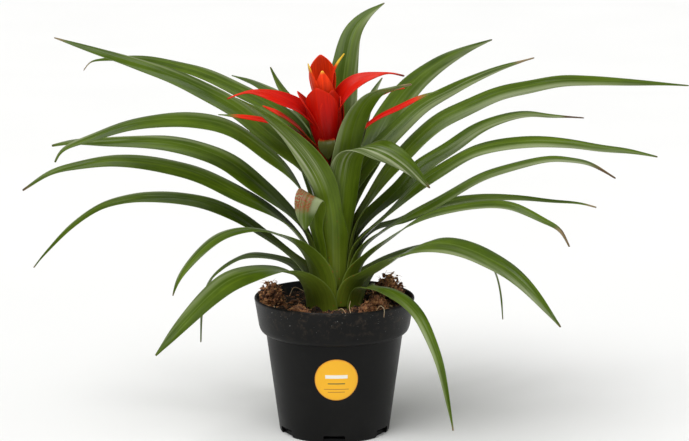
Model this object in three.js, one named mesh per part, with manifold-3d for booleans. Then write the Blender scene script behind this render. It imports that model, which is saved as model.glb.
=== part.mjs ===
// A flowering bromeliad in a round nursery pot: an open rosette of strap leaves round a red flower head.
// Millimetres, +Z up. The origin is on the pot's axis, on the surface that the pot stands on.
// Azimuths are in degrees: 0 is +X, 90 is +Y, and the best side of the plant faces -Y (270).
import * as THREE from "three";
import { mergeVertices } from "three/addons/utils/BufferGeometryUtils.js";
import Module from "manifold-3d";

const wasm = await Module();
wasm.setup();

// Pot
const POT_HEIGHT = 108.5;
const RIM_RADIUS = 63.5;
const COLLAR_FOOT_RADIUS = 60;
const COLLAR_FOOT_Z = 86;
const WALL_TOP_RADIUS = 54.4;
const WALL_TOP_Z = 80;
const WALL_FOOT_RADIUS = 44;
const WALL = 1.6;
const FLOOR = 2.8;
const WALL_FOOT_Z = 1.8; // above the rounded edge of the foot
const POT_SIDES = 44;
const FOOT_PAD_RADIUS = 15;
const FOOT_RING_INNER = 37;
const FOOT_GROOVE = 1.2; // the floor stands on its middle pad and on the ring round its edge
const DRAIN_SLOTS = 6;
const DRAIN_WIDTH = 17;
const DRAIN_HEIGHT = 6;
const DRAIN_DEPTH = 7;

// Soil and what lies on it
const SOIL_TOP_Z = 100;
const SOIL_LUMP = 2.2;
const SOIL_SIDES = 36;
const SOIL_RINGS = 7;
const SOIL_CHIPS = 14; // bark chips, partly sunk
const CROWN_HOLE_RADIUS = 25;
const CROWN_HOLE_FLOOR_Z = 92;
const ROOT_HOLE_RADIUS = 12.4;
const ROOT_HOLE_FLOOR_Z = 60;
const STRAND_RADIUS = 0.9;
const STRAND_LENGTH = 11;
const GAP = 0.3; // between pieces that touch

// Crown: a short thick stem that tapers upwards, with a leaf seat every layer, and the flower stalk on top
const CROWN_RADIUS = 22;
const CROWN_Z = 97;
const LAYER_STEP = 1.12;
const LAYER_RISE = 2.8;
const LAYERS = 14;
const SEAT_GAP = 0.6; // a leaf's base is flat-sided, so its middle lies nearer
const SEAT_LENGTH = 7; // of a leaf along the stem
const SEAT_LEAN = 0.3;
const STALK_TAPER_LENGTH = 26; // from the last seat up
const STALK_RADIUS = 4.6;
const STALK_TOP_Z = 199.7;

// Leaves
const LEAF_THICKNESS = 0.8;
const LEAF_EDGE = 0.6;
const LEAF_TIP = 0.7; // least half width
const TAPER = 3.2;
const SHEATH_ANGLE = 0.9; // half the angle that a leaf's base wraps round the stem, in radians
const MOST_WRAP = 1; // half the angle that a blade goes round the axis, at most, in radians
const SHEATH_LENGTH = 48;
const GUTTER_RADIUS = 22; // at most, of the gutter across a leaf near its base
const GUTTER_START = 45; // along a leaf, where its gutter starts to flatten
const GUTTER_END = 125;
const GUTTER_NEAR = 14; // from the axis: closer in, a leaf keeps its gutter
const GUTTER_CLEAR = 40;
const RIDGE = -0.35; // half the angle across an outer blade, in radians: its edges droop
const LIGHT_TURN = 0.55; // of a side leaf's face towards the light at -Y, in radians
const LEAF_CELLS = 4;
const LEAF_STATION = 17; // length of a facet along a leaf
const LEAST_STATIONS = 9;

// Flower head
const BLOOM_BASE = [-3, 0, 213];
const BLOOM_LEAN = -0.09; // towards -X, in radians
const BRACT_THICKNESS = 1.1;
const BRACT_TURN = 0.5; // of a side bract's face towards the light
const BRACT_TIP = 0.8; // least half width
const BRACT_CUP = 11; // radius of the gutter across a bract's base
const BRACT_TAPER = 2.2;
const BRACT_CELLS = 2;
const BRACT_STATION = 14;
const CORE_SIDES = 12;

// Sticker
const STICKER_RADIUS = 17;
const STICKER_Z = 53;
const STICKER_AZIMUTH = 272;
const STICKER_THICKNESS = 0.5;
const STICKER_RINGS = 3;
const STICKER_SIDES = 24;

const GREEN = 0x4a6b1e;
const UNDER_GREEN = 0x7f9463;
const RED = 0xc01a08;

// Leaves from the lowest, outermost layer inwards. Each has its layer on the stem, the azimuth of its base,
// the half width of its blade, and the run of its midrib as [distance from the axis, height, turn from the
// base's azimuth]. taper below 3 makes a slender tip. roll is [from, to, degrees]: the blade turns about its
// midrib between two places along it, from 0 to 1. lit is the share of the turn to the light that it makes,
// wrap half the angle that its base goes round, sheath the lengths between which its base opens into the blade,
// and waist the share of its width that it has just past its base, where they aren't the usual ones.
const LEAVES = [
  {
    name: "leaf_left_1", layer: 0, azimuth: 228, half: 12.5,
    run: [[27, 117, 1], [41, 130, 2], [70, 140, 2], [98, 143, 2], [120, 141, 2], [141, 133, 2],
      [173, 115, 2], [198, 98, 2]],
  },
  {
    name: "leaf_right_3", layer: 0, azimuth: 52, half: 6.5, taper: 2.2,
    run: [[31, 113], [50, 123], [80, 130, -3], [119, 131, -4], [159, 124, -4], [187, 113, -4],
      [207, 98, -4], [217, 76, -4], [221, 50, -4]],
  },
  {
    name: "leaf_right_1", layer: 1, azimuth: 332, half: 6.5, taper: 2.4, wrap: 0.6,
    run: [[25, 113, -4], [37, 121, -22], [60, 126, -34], [85, 130, -35], [108, 129, -35], [124, 126, -35],
      [139, 120, -35], [154, 108, -35], [168, 92, -35], [178, 72, -35], [188, 47, -35]],
  },
  {
    name: "leaf_left_2", layer: 1, azimuth: 142, half: 7.5,
    run: [[27, 118], [36, 126], [52, 130], [75, 131], [94, 129], [112, 121], [127, 110], [137, 97],
      [143, 75], [144, 48]],
  },
  {
    name: "leaf_right_2", layer: 2, azimuth: 323, half: 12.5,
    run: [[25, 122], [41, 132, -6], [58, 142, -10], [75, 152, -11], [107, 166, -11], [128, 169, -11],
      [149, 168, -11], [169, 164, -11], [189, 158, -11], [208, 148, -11], [238, 125, -11]],
  },
  {
    name: "leaf_left_4", layer: 2, azimuth: 167, half: 8,
    run: [[25, 128], [37, 140], [57, 154, -2], [78, 168, -2], [103, 178, -2], [129, 182, -2],
      [154, 182, -2], [171, 180, -2], [198, 172, -2], [224, 154, -2], [243, 135, -2], [258, 117, -2]],
  },
  {
    name: "leaf_left_3", layer: 3, azimuth: 237, half: 11, wrap: 0.72,
    run: [[21, 128], [27, 142, -8], [37, 154, -16], [57, 165, -20], [76, 171, -20], [89, 172, -20],
      [107, 169, -20], [121, 162, -20], [134, 152, -20], [145, 140, -20], [150, 128, -20]],
    roll: [0.28, 0.62, 24],
  },
  {
    name: "leaf_right_4", layer: 3, azimuth: 330, half: 8.5, taper: 2.4,
    run: [[22, 133], [34, 146, -2], [53, 160, -5], [72, 174, -6], [90, 184, -6], [108, 190, -6],
      [134, 196, -6], [152, 198, -6], [165, 197, -6], [190, 189, -6], [203, 184, -6], [211, 172, -6]],
  },
  {
    name: "leaf_back_1", layer: 3, azimuth: 90, half: 12,
    run: [[21, 140], [32, 158], [55, 178], [85, 193, -4], [120, 202, -4], [155, 200, -4], [190, 188, -4],
      [212, 170, -4]],
  },
  {
    name: "leaf_right_6", layer: 4, azimuth: 345, half: 9.5, taper: 2.4,
    run: [[21, 143], [31, 155, -6], [47, 167, -9], [64, 178, -9], [81, 188, -9], [97, 198, -9],
      [121, 212, -9], [145, 221, -9], [176, 229, -9], [192, 229, -9], [207, 227, -9], [227, 217, -9]],
  },
  {
    name: "leaf_left_5", layer: 4, azimuth: 189, half: 11,
    run: [[21, 144], [31, 160], [51, 178, -3], [74, 192, -3], [105, 208, -3], [128, 215, -3],
      [151, 219, -3], [174, 220, -3], [197, 217, -3], [220, 211, -3], [242, 197, -3]],
  },
  {
    name: "leaf_right_5", layer: 5, azimuth: 20, half: 7, taper: 2,
    run: [[17.6, 138], [21.5, 150], [34, 161, -3], [54, 166, -6], [70, 173, -6], [87, 179, -6],
      [120, 183, -6], [154, 181, -6], [180, 177, -6], [206, 174, -6], [220, 170, -6]],
  },
  {
    name: "leaf_left_6", layer: 5, azimuth: 183, half: 12.5,
    run: [[21, 155], [37, 176, -5], [59, 197, -7], [82, 215, -7], [106, 225, -7], [130, 230, -7],
      [161, 231, -7], [185, 230, -7], [209, 229, -7], [224, 226, -7]],
  },
  {
    name: "leaf_front_folded", layer: 6, azimuth: 234, half: 12.2, taper: 8, wrap: 0.3, sheath: [50, 82],
    run: [[17.4, 146], [23, 165, -3], [30, 186, 4], [36, 196, 8], [42, 194, 8], [45.5, 183, 7],
      [45.5, 168, 7]],
    roll: [0.58, 0.78, -30], lit: 0,
  },
  {
    name: "leaf_right_7", layer: 6, azimuth: 355, half: 9.5,
    run: [[17, 148], [27, 160, -4], [41, 173, -7], [68, 201, -7], [84, 213, -7], [107, 227, -7],
      [122, 232, -7], [138, 235, -7], [161, 237, -7], [184, 236, -7], [206, 233, -7], [229, 231, -7],
      [250, 227, -7]],
  },
  {
    name: "leaf_back_2", layer: 6, azimuth: 106, half: 12,
    run: [[18.5, 155], [31, 180], [60, 203], [95, 222], [135, 234], [175, 237], [210, 231], [238, 217]],
  },
  {
    name: "leaf_front_left", layer: 7, azimuth: 267, half: 12.5, wrap: 0.78, sheath: [34, 62], waist: 0.72,
    run: [[15.7, 146], [20, 165], [24, 182, -3], [28, 202, -12], [34, 222, -29], [44, 241, -47],
      [60, 257, -58], [81, 270, -64]],
    lit: -0.7,
  },
  {
    name: "leaf_right_8", layer: 7, azimuth: 30, half: 10, taper: 2.2,
    run: [[16.5, 152], [29, 167], [45, 180, -2], [59, 191, -3], [77, 207, -3], [105, 221, -3],
      [133, 236, -3], [161, 243, -3], [180, 244, -3], [200, 241, -3], [234, 237, -3]],
  },
  {
    name: "leaf_left_7", layer: 8, azimuth: 198, half: 12,
    run: [[14.5, 155], [18.5, 172], [25, 189], [38, 211], [56, 228, -2], [76, 243, -2], [92, 250, -2],
      [115, 254, -2], [138, 254, -2], [162, 251, -2], [185, 244, -2], [213, 233, -2], [218, 224, -2]],
  },
  {
    name: "leaf_right_9", layer: 8, azimuth: 8, half: 10.5,
    run: [[15, 155], [19.2, 170], [27, 183, -2], [40, 205, -4], [52, 220, -5], [67, 236, -5],
      [83, 249, -5], [106, 260, -5], [130, 270, -5], [153, 275, -5], [177, 279, -5], [200, 279, -5],
      [224, 278, -5], [256, 276, -5], [279, 274, -5]],
  },
  {
    name: "leaf_front_bent", layer: 9, azimuth: 290, half: 15, taper: 3.2,
    run: [[12.9, 150], [15.3, 169], [19.5, 188], [23.5, 208, 2], [29, 224, 5], [38, 232, 13],
      [53, 231, 24], [70, 221, 31], [89, 203, 35]],
    roll: [0.58, 0.82, 60], lit: 0,
  },
  {
    name: "leaf_left_9", layer: 9, azimuth: 168, half: 11.5,
    run: [[14.2, 178], [19.5, 200], [29, 217, -2], [54, 237, -4], [80, 255, -5], [113, 271, -5],
      [139, 281, -5], [175, 291, -5], [202, 298, -5], [238, 307, -5]],
  },
  {
    name: "leaf_right_11", layer: 9, azimuth: 56, half: 13,
    run: [[13.5, 160], [17.5, 179], [29, 196], [45, 211, 1], [60, 226, 1], [83, 246, 1], [114, 265, 1],
      [163, 281, 1], [210, 289, 1], [255, 293, 1]],
  },
  {
    name: "leaf_right_10", layer: 10, azimuth: 52, half: 10.5, taper: 2.2,
    run: [[11.8, 160], [14, 178], [19, 192, -3], [30, 207, -8], [46, 224, -13], [67, 240, -14],
      [88, 253, -14], [119, 264, -14], [141, 271, -14], [175, 279, -14], [214, 285, -14]],
  },
  {
    name: "leaf_left_8", layer: 10, azimuth: 155, half: 9,
    run: [[12.5, 188], [20, 215, -6], [37, 238, -13], [65, 255, -14], [96, 265, -14], [140, 277, -14],
      [186, 283, -14], [220, 284, -14], [255, 281, -14], [274, 277, -14], [282, 269, -14]],
  },
  {
    name: "leaf_front_right", layer: 10, azimuth: 300, half: 15,
    run: [[12.8, 178], [14, 192], [17, 208, 4], [21, 230, 6], [26, 248, 7], [34, 262, 8], [48, 274, 9],
      [70, 280, 10], [90, 284, 10]],
    lit: -0.3,
  },
  {
    name: "leaf_left_10", layer: 11, azimuth: 120, half: 8,
    run: [[11.2, 190], [16.2, 215, -1], [30, 240, -4], [52, 250, -6], [90, 254, -6], [140, 259, -6],
      [185, 262, -6], [226, 262, -6]],
  },
  {
    name: "leaf_right_12", layer: 11, azimuth: 10, half: 9,
    run: [[11, 190], [13.5, 206], [19, 223, 8], [27, 248, 19], [36, 266, 25], [47, 279, 26]],
  },
  {
    name: "leaf_back_tall", layer: 12, azimuth: 78, half: 14, taper: 4,
    run: [[9.5, 190], [11.6, 206], [16, 225], [22, 245], [29, 265], [37, 290, -2], [50, 314, -5],
      [61, 327, -13], [72, 336, -22]],
  },
  {
    name: "leaf_back_short", layer: 13, azimuth: 138, half: 9, taper: 2.8,
    run: [[8.6, 200], [11, 214], [14.4, 227], [18.3, 237], [30, 250, 1], [47, 262, 2], [58, 273, 2],
      [67, 286, 2]],
  },
];

// Bracts of the flower head: azimuth, half width, and run as [distance from the head's axis, height above
// its base]. taper above its usual value makes a blunt end, point above 1 a slender one, and turn is how far the
// bract's face turns towards the light.
const BRACTS = [
  {
    azimuth: 4, half: 13, point: 2.5, turn: 1.1,
    run: [[4, 10], [8, 30], [12, 47], [20.5, 59], [29, 64.5], [40, 67], [52.5, 67.5], [64, 64]],
  },
  {
    azimuth: 180, half: 12, point: 2.5, turn: 1.1,
    run: [[4, 10], [9, 28], [20, 45.5], [32, 54], [44.5, 60], [57, 63], [67.5, 61.5], [75.5, 59]],
  },
  { azimuth: 197, half: 7, run: [[4, 4], [9.5, 14], [15.5, 21.5], [22, 30.5], [30, 39], [40, 47], [50, 53]] },
  { azimuth: 190, half: 5, run: [[4, 1], [8.5, 12], [18, 24], [36, 36], [60, 44], [84, 49]] },
  { azimuth: 358, half: 5, run: [[4, 1], [16, 15], [30, 27.5], [41, 34], [58, 40.5], [74.5, 47], [89, 50.5]] },
  { azimuth: 12, half: 5, run: [[4, 4], [13, 24], [27, 40], [41, 49.5], [54, 53.5], [65, 53.5]] },
  { azimuth: 85, half: 6, run: [[4, 6], [8, 26], [14, 40], [19, 46]] },
  { azimuth: 115, half: 5.5, run: [[4, 8], [10, 28], [19, 40], [28, 45]] },
  { azimuth: 262, half: 8, run: [[6, 21], [11, 21.5], [13.5, 17], [13.5, 9.5]] },
  { azimuth: 237, half: 6, taper: 5, run: [[4, -9], [6.5, 0], [9.5, 10], [11, 15]] },
  { azimuth: 315, half: 6, taper: 5, run: [[4, -9], [6.5, 0], [9.5, 10], [11, 15]] },
  { azimuth: 238, half: 11.5, taper: 5, run: [[5, 8], [11, 28], [14, 46], [16, 60]] },
  { azimuth: 292, half: 11.5, taper: 5, run: [[5, 8], [11, 28], [13, 44], [12.5, 58]] },
  { azimuth: 190, half: 9, run: [[5, 12], [11, 32], [15, 48], [21, 61]] },
  { azimuth: 345, half: 8, run: [[5, 12], [10, 30], [12, 44], [13, 54]] },
  { azimuth: 110, half: 10, run: [[5, 12], [11, 32], [14, 48], [15, 60]] },
  { azimuth: 35, half: 8, run: [[5, 12], [11, 32], [13, 46], [15, 57]] },
  { azimuth: 275, half: 10, run: [[4, 30], [7, 52], [8, 66], [5, 75]] },
  { azimuth: 218, half: 8, run: [[4, 36], [8, 56], [10.5, 70], [12.5, 82]] },
  { azimuth: 88, half: 9, taper: 6, run: [[4, 36], [6, 58], [5, 74], [1, 87]] },
  { azimuth: 8, half: 2.2, run: [[4, 40], [6, 58], [9, 73], [13.5, 80], [19, 86]] },
];

// A repeatable random draw, from 0 to 1.
function draws(seed) {
  let state = seed;
  return () => {
    state = (state + 0x6d2b79f5) | 0;
    let t = Math.imul(state ^ (state >>> 15), 1 | state);
    t = (t + Math.imul(t ^ (t >>> 7), 61 | t)) ^ t;
    return ((t ^ (t >>> 14)) >>> 0) / 4294967296;
  };
}

const smooth = (x) => {
  const t = Math.min(Math.max(x, 0), 1);
  return t * t * (3 - 2 * t);
};

const mix = (a, b, t) => a + (b - a) * t;

function polar(radius, azimuth, z) {
  const angle = THREE.MathUtils.degToRad(azimuth);
  return new THREE.Vector3(radius * Math.cos(angle), radius * Math.sin(angle), z);
}

// A closed geometry as a solid, with only its corner points kept.
function solid(geometry) {
  const bare = new THREE.BufferGeometry().setAttribute("position", geometry.getAttribute("position"));
  if (geometry.index) bare.setIndex(geometry.index);
  const merged = mergeVertices(bare, 1e-3);
  return new wasm.Manifold(
    new wasm.Mesh({
      numProp: 3,
      vertProperties: merged.attributes.position.array,
      triVerts: new Uint32Array(merged.index.array),
    }),
  );
}

// The main body of a joined or cut solid: loose scraps go, and sealed hollows are filled.
function mainBody(body) {
  return body.decompose().sort((a, b) => b.volume() - a.volume())[0];
}

function geometryOf(body) {
  const made = body.getMesh();
  return new THREE.BufferGeometry()
    .setAttribute("position", new THREE.BufferAttribute(new Float32Array(made.vertProperties), 3))
    .setIndex(new THREE.BufferAttribute(new Uint32Array(made.triVerts), 1));
}

// A thin blade along a curve. At t, sideways gives the direction across it, width its half width, camber half
// the angle that it curves through across (above 0 is a gutter, below 0 a ridge), and roll its turn about the
// curve.
function blade({ curve, stations, cells, sideways, width, camber, roll, thickness, edge }) {
  const points = [];
  const faces = [];
  const row = 2 * (cells + 1);
  for (let i = 0; i <= stations; i++) {
    const t = i / stations;
    const centre = curve.getPointAt(t);
    const along = curve.getTangentAt(t);
    const side = sideways(centre);
    side.addScaledVector(along, -side.dot(along)).normalize().applyAxisAngle(along, roll(t, centre));
    const inward = new THREE.Vector3().crossVectors(along, side);
    const half = width(t, centre);
    const curl = camber(t, centre, half) || 1e-6;
    for (let j = 0; j <= cells; j++) {
      const u = (2 * j) / cells - 1;
      const angle = u * curl;
      const middle = centre.clone()
        .addScaledVector(side, (half * Math.sin(angle)) / curl)
        .addScaledVector(inward, (half * (1 - Math.cos(angle))) / curl);
      const up = inward.clone().multiplyScalar(Math.cos(angle)).addScaledVector(side, -Math.sin(angle));
      const skin = mix(thickness, edge, u * u) / 2;
      points.push(middle.clone().addScaledVector(up, skin), middle.addScaledVector(up, -skin));
    }
  }
  const top = (i, j) => i * row + 2 * j;
  const under = (i, j) => top(i, j) + 1;
  const quad = (a, b, c, d) => faces.push(a, b, c, a, c, d);
  for (let i = 0; i < stations; i++) {
    for (let j = 0; j < cells; j++) {
      quad(top(i, j), top(i + 1, j), top(i + 1, j + 1), top(i, j + 1));
      quad(under(i, j), under(i, j + 1), under(i + 1, j + 1), under(i + 1, j));
    }
    quad(under(i, 0), under(i + 1, 0), top(i + 1, 0), top(i, 0));
    quad(under(i, cells), top(i, cells), top(i + 1, cells), under(i + 1, cells));
  }
  for (let j = 0; j < cells; j++) {
    quad(under(0, j), top(0, j), top(0, j + 1), under(0, j + 1));
    quad(under(stations, j), under(stations, j + 1), top(stations, j + 1), top(stations, j));
  }
  return new THREE.BufferGeometry().setFromPoints(points).setIndex(faces);
}

// The direction round the axis at a point, level.
const roundTheAxis = (point) => new THREE.Vector3(-point.y, point.x, 0).normalize();

const fromAxis = (point) => Math.hypot(point.x, point.y);

function smoothRun(run, azimuth) {
  const places = run.map(([radius, z, turn = 0]) => polar(radius, azimuth + turn, z));
  return new THREE.CatmullRomCurve3(places, false, "centripetal");
}

function leafGeometry(leaf) {
  const seatRadius = CROWN_RADIUS - leaf.layer * LAYER_STEP;
  const seatZ = CROWN_Z + leaf.layer * LAYER_RISE;
  const seat = [[seatRadius, seatZ], [seatRadius + SEAT_LEAN, seatZ + SEAT_LENGTH]];
  const curve = smoothRun([...seat, ...leaf.run], leaf.azimuth);
  const length = curve.getLength();
  const tip = curve.getPointAt(1);
  const toLight = ((leaf.lit ?? 1) * LIGHT_TURN * tip.x) / fromAxis(tip);
  const [rollStart, rollEnd, rollBy] = leaf.roll ?? [0, 1, 0];
  const flattened = (t, centre) => Math.min(
    smooth((t * length - GUTTER_START) / (GUTTER_END - GUTTER_START)),
    smooth((fromAxis(centre) - GUTTER_NEAR) / (GUTTER_CLEAR - GUTTER_NEAR)),
  );
  return blade({
    curve,
    stations: Math.max(LEAST_STATIONS, Math.round(length / LEAF_STATION)),
    cells: LEAF_CELLS,
    sideways: roundTheAxis,
    width: (t, centre) => {
      const [sheathStart, sheathEnd] = leaf.sheath ?? [0, SHEATH_LENGTH];
      const waist = mix(leaf.waist ?? 1, 1, smooth((t * length - sheathEnd) / SHEATH_LENGTH));
      const outline = Math.max(waist * leaf.half * (1 - t ** (leaf.taper ?? TAPER)) ** 0.9, LEAF_TIP);
      const sheath = (leaf.wrap ?? SHEATH_ANGLE) * Math.min(fromAxis(centre), CROWN_RADIUS);
      const opened = smooth((t * length - sheathStart) / (sheathEnd - sheathStart));
      return Math.min(mix(sheath, outline, opened), MOST_WRAP * fromAxis(centre));
    },
    camber: (t, centre, half) => {
      const gutter = half / Math.min(fromAxis(centre), GUTTER_RADIUS);
      return mix(gutter, RIDGE, flattened(t, centre));
    },
    roll: (t, centre) => toLight * flattened(t, centre)
      + THREE.MathUtils.degToRad(rollBy) * smooth((t - rollStart) / (rollEnd - rollStart)),
    thickness: LEAF_THICKNESS,
    edge: LEAF_EDGE,
  });
}

// A bract is widest past its middle, and its gutter opens towards its tip.
function bractSolid(bract) {
  const curve = smoothRun(bract.run, bract.azimuth);
  const toLight = (bract.turn ?? BRACT_TURN) * Math.cos(THREE.MathUtils.degToRad(bract.azimuth));
  return solid(blade({
    curve,
    stations: Math.max(4, Math.round(curve.getLength() / BRACT_STATION)),
    cells: BRACT_CELLS,
    sideways: roundTheAxis,
    width: (t) => {
      const outline = (0.55 + 1.2 * t) * (1 - t ** (bract.taper ?? BRACT_TAPER)) ** (bract.point ?? 1);
      return Math.max(bract.half * outline, BRACT_TIP);
    },
    camber: (t, centre, half) => half / (Math.min(fromAxis(centre) + 4, BRACT_CUP) * (1 + t)),
    roll: (t) => toLight * smooth(t),
    thickness: BRACT_THICKNESS,
    edge: BRACT_THICKNESS,
  }));
}

// The head's core goes on from the stalk, and the bracts' roots are sunk in it.
function bloomGeometry() {
  const core = [[0, -13], [STALK_RADIUS, -13], [7, 4], [8, 20], [8.5, 36], [6, 52], [0, 62]];
  let body = solid(lathe(core, CORE_SIDES));
  for (const bract of BRACTS) body = body.add(bractSolid(bract));
  return geometryOf(mainBody(body));
}

// A profile of [radius, z] turned round the Z axis.
function lathe(profile, sides) {
  return new THREE.LatheGeometry(profile.map(([radius, z]) => new THREE.Vector2(radius, z)), sides)
    .rotateX(Math.PI / 2);
}

function box(width, depth, height, x, y, z) {
  return new THREE.BoxGeometry(width, depth, height).translate(x, y, z);
}

// Pot: a tapered wall under a wider collar with a rolled rim, and drain slots cut into the wall's foot.
function potGeometry() {
  const outside = [
    [0, 0], [FOOT_PAD_RADIUS, 0], [FOOT_PAD_RADIUS + 1, FOOT_GROOVE],
    [FOOT_RING_INNER - 1, FOOT_GROOVE], [FOOT_RING_INNER, 0], [WALL_FOOT_RADIUS - 1.5, 0],
    [WALL_FOOT_RADIUS - 0.4, 0.5], [WALL_FOOT_RADIUS, WALL_FOOT_Z], [WALL_TOP_RADIUS, WALL_TOP_Z],
    [COLLAR_FOOT_RADIUS - 2.6, WALL_TOP_Z + 1.2], [COLLAR_FOOT_RADIUS - 0.8, COLLAR_FOOT_Z - 2.4],
    [COLLAR_FOOT_RADIUS, COLLAR_FOOT_Z], [RIM_RADIUS - 0.3, POT_HEIGHT - 2.6],
    [RIM_RADIUS, POT_HEIGHT - 1.4], [RIM_RADIUS - 0.5, POT_HEIGHT - 0.2], [RIM_RADIUS - 1.2, POT_HEIGHT],
  ];
  const inside = [
    [RIM_RADIUS - 1.9, POT_HEIGHT - 0.6], [COLLAR_FOOT_RADIUS - WALL, COLLAR_FOOT_Z + 1],
    [WALL_TOP_RADIUS - WALL, WALL_TOP_Z], [WALL_FOOT_RADIUS - WALL, FLOOR], [0, FLOOR],
  ];
  let body = solid(lathe([...outside, ...inside], POT_SIDES));
  for (let slot = 0; slot < DRAIN_SLOTS; slot++) {
    const cut = box(DRAIN_DEPTH, DRAIN_WIDTH, 2 * DRAIN_HEIGHT, WALL_FOOT_RADIUS, 0, 0)
      .rotateZ(THREE.MathUtils.degToRad(270 + (slot * 360) / DRAIN_SLOTS));
    body = body.subtract(solid(cut));
  }
  return geometryOf(body);
}

// Inner radius of the pot at a height.
function potInside(z) {
  if (z < WALL_TOP_Z) return mix(WALL_FOOT_RADIUS, WALL_TOP_RADIUS, z / WALL_TOP_Z) - WALL;
  return mix(COLLAR_FOOT_RADIUS, RIM_RADIUS, (z - COLLAR_FOOT_Z) / (POT_HEIGHT - COLLAR_FOOT_Z)) - WALL;
}

// Height of the soil's lumpy top at a place: a few waves that cross, lower at the pot's wall.
function soilTop(x, y) {
  const waves = Math.sin(0.21 * x + 1.3) * Math.cos(0.17 * y - 0.4) + 0.6 * Math.sin(0.43 * x - 0.37 * y)
    + 0.5 * Math.cos(0.61 * y + 0.23 * x + 2);
  return SOIL_TOP_Z + SOIL_LUMP * waves - 1.5 * smooth((Math.hypot(x, y) - 48) / 12);
}

// Soil: it fills the pot up to its lumpy top, with bark chips, and has a plain stepped hole for the stem.
function soilSolid() {
  const topRadius = potInside(SOIL_TOP_Z - 4) - GAP - 0.5;
  const lower = [[0, FLOOR + GAP], [potInside(FLOOR + 1) - 0.8, FLOOR + GAP], [potInside(79) - 1, 79],
    [topRadius - 2.6, 88]];
  const points = [];
  const faces = [];
  const ring = (radius, height) => {
    for (let k = 0; k < SOIL_SIDES; k++) {
      const p = polar(radius, (k * 360) / SOIL_SIDES, 0);
      points.push(new THREE.Vector3(p.x, p.y, height(p.x, p.y)));
    }
  };
  points.push(new THREE.Vector3(0, 0, lower[0][1]));
  for (const [radius, z] of lower.slice(1)) ring(radius, () => z);
  for (let k = 0; k < SOIL_RINGS; k++) ring(mix(topRadius, 8, k / (SOIL_RINGS - 1)), soilTop);
  points.push(new THREE.Vector3(0, 0, soilTop(0, 0)));
  const last = points.length - 1;
  const ringCount = lower.length - 1 + SOIL_RINGS;
  for (let k = 0; k < SOIL_SIDES; k++) {
    const next = (k + 1) % SOIL_SIDES;
    faces.push(0, 1 + next, 1 + k);
    for (let r = 0; r < ringCount - 1; r++) {
      const a = 1 + r * SOIL_SIDES;
      const b = a + SOIL_SIDES;
      faces.push(a + k, a + next, b + next, a + k, b + next, b + k);
    }
    const inner = 1 + (ringCount - 1) * SOIL_SIDES;
    faces.push(inner + k, inner + next, last);
  }
  const hole = lathe([[0, ROOT_HOLE_FLOOR_Z], [ROOT_HOLE_RADIUS, ROOT_HOLE_FLOOR_Z],
    [ROOT_HOLE_RADIUS, CROWN_HOLE_FLOOR_Z], [CROWN_HOLE_RADIUS, CROWN_HOLE_FLOOR_Z],
    [CROWN_HOLE_RADIUS, SOIL_TOP_Z + 15], [0, SOIL_TOP_Z + 15]], 32);
  let body = solid(new THREE.BufferGeometry().setFromPoints(points).setIndex(faces));
  const draw = draws(7);
  for (let chip = 0; chip < SOIL_CHIPS; chip++) {
    const place = polar(mix(29, 54, draw()), 360 * draw(), 0);
    const size = mix(1.8, 3.6, draw());
    const lump = new THREE.IcosahedronGeometry(size, 0)
      .rotateX(6 * draw())
      .rotateZ(6 * draw())
      .translate(place.x, place.y, soilTop(place.x, place.y) + 0.15 * size);
    body = body.add(solid(lump));
  }
  return mainBody(body.subtract(solid(hole)));
}

// The short stem below the leaves, with the flower stalk above it.
function stemGeometry() {
  const clearance = LEAF_THICKNESS / 2 + SEAT_GAP;
  const seat = (layer) => [CROWN_RADIUS - layer * LAYER_STEP - clearance, CROWN_Z + layer * LAYER_RISE];
  const [lowRadius, lowZ] = seat(-1);
  const [highRadius, highZ] = seat(LAYERS - 1);
  return lathe([
    [0, ROOT_HOLE_FLOOR_Z + GAP], [7, ROOT_HOLE_FLOOR_Z + GAP], [ROOT_HOLE_RADIUS - GAP, ROOT_HOLE_FLOOR_Z + 8],
    [ROOT_HOLE_RADIUS - GAP, CROWN_HOLE_FLOOR_Z + GAP], [lowRadius - 3, CROWN_HOLE_FLOOR_Z + GAP],
    [lowRadius, lowZ], [highRadius, highZ], [STALK_RADIUS + 0.6, highZ + STALK_TAPER_LENGTH],
    [STALK_RADIUS, STALK_TOP_Z], [0, STALK_TOP_Z],
  ], 20);
}

// A tangle of coconut fibre: a low lump with stiff strands standing out of it, cut to the soil below.
function tuftGeometry({ azimuth, radius, spread, height, strands, seed }, soil) {
  const draw = draws(seed);
  const place = polar(radius, azimuth, 0);
  const floor = soilTop(place.x, place.y);
  const lump = new THREE.IcosahedronGeometry(1, 1)
    .scale(spread, spread * 0.7, height)
    .rotateZ(THREE.MathUtils.degToRad(azimuth + 90))
    .translate(place.x, place.y, floor);
  let body = solid(lump);
  for (let k = 0; k < strands; k++) {
    const lean = 360 * draw();
    const out = spread * mix(0.2, 0.8, draw());
    const reach = mix(0.7, 1.25, draw());
    const strand = new THREE.ConeGeometry(STRAND_RADIUS, STRAND_LENGTH * reach, 3)
      .translate(0, STRAND_LENGTH / 3, 0)
      .rotateX(Math.PI / 2)
      .rotateY(mix(0.2, 1.15, draw()))
      .rotateZ(THREE.MathUtils.degToRad(lean))
      .translate(
        place.x + 0.6 * out * Math.cos(THREE.MathUtils.degToRad(lean)),
        place.y + 0.6 * out * Math.sin(THREE.MathUtils.degToRad(lean)),
        floor + 0.45 * height,
      );
    body = body.add(solid(strand));
  }
  return geometryOf(mainBody(body.subtract(soil.translate([0, 0, GAP]))));
}

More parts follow.
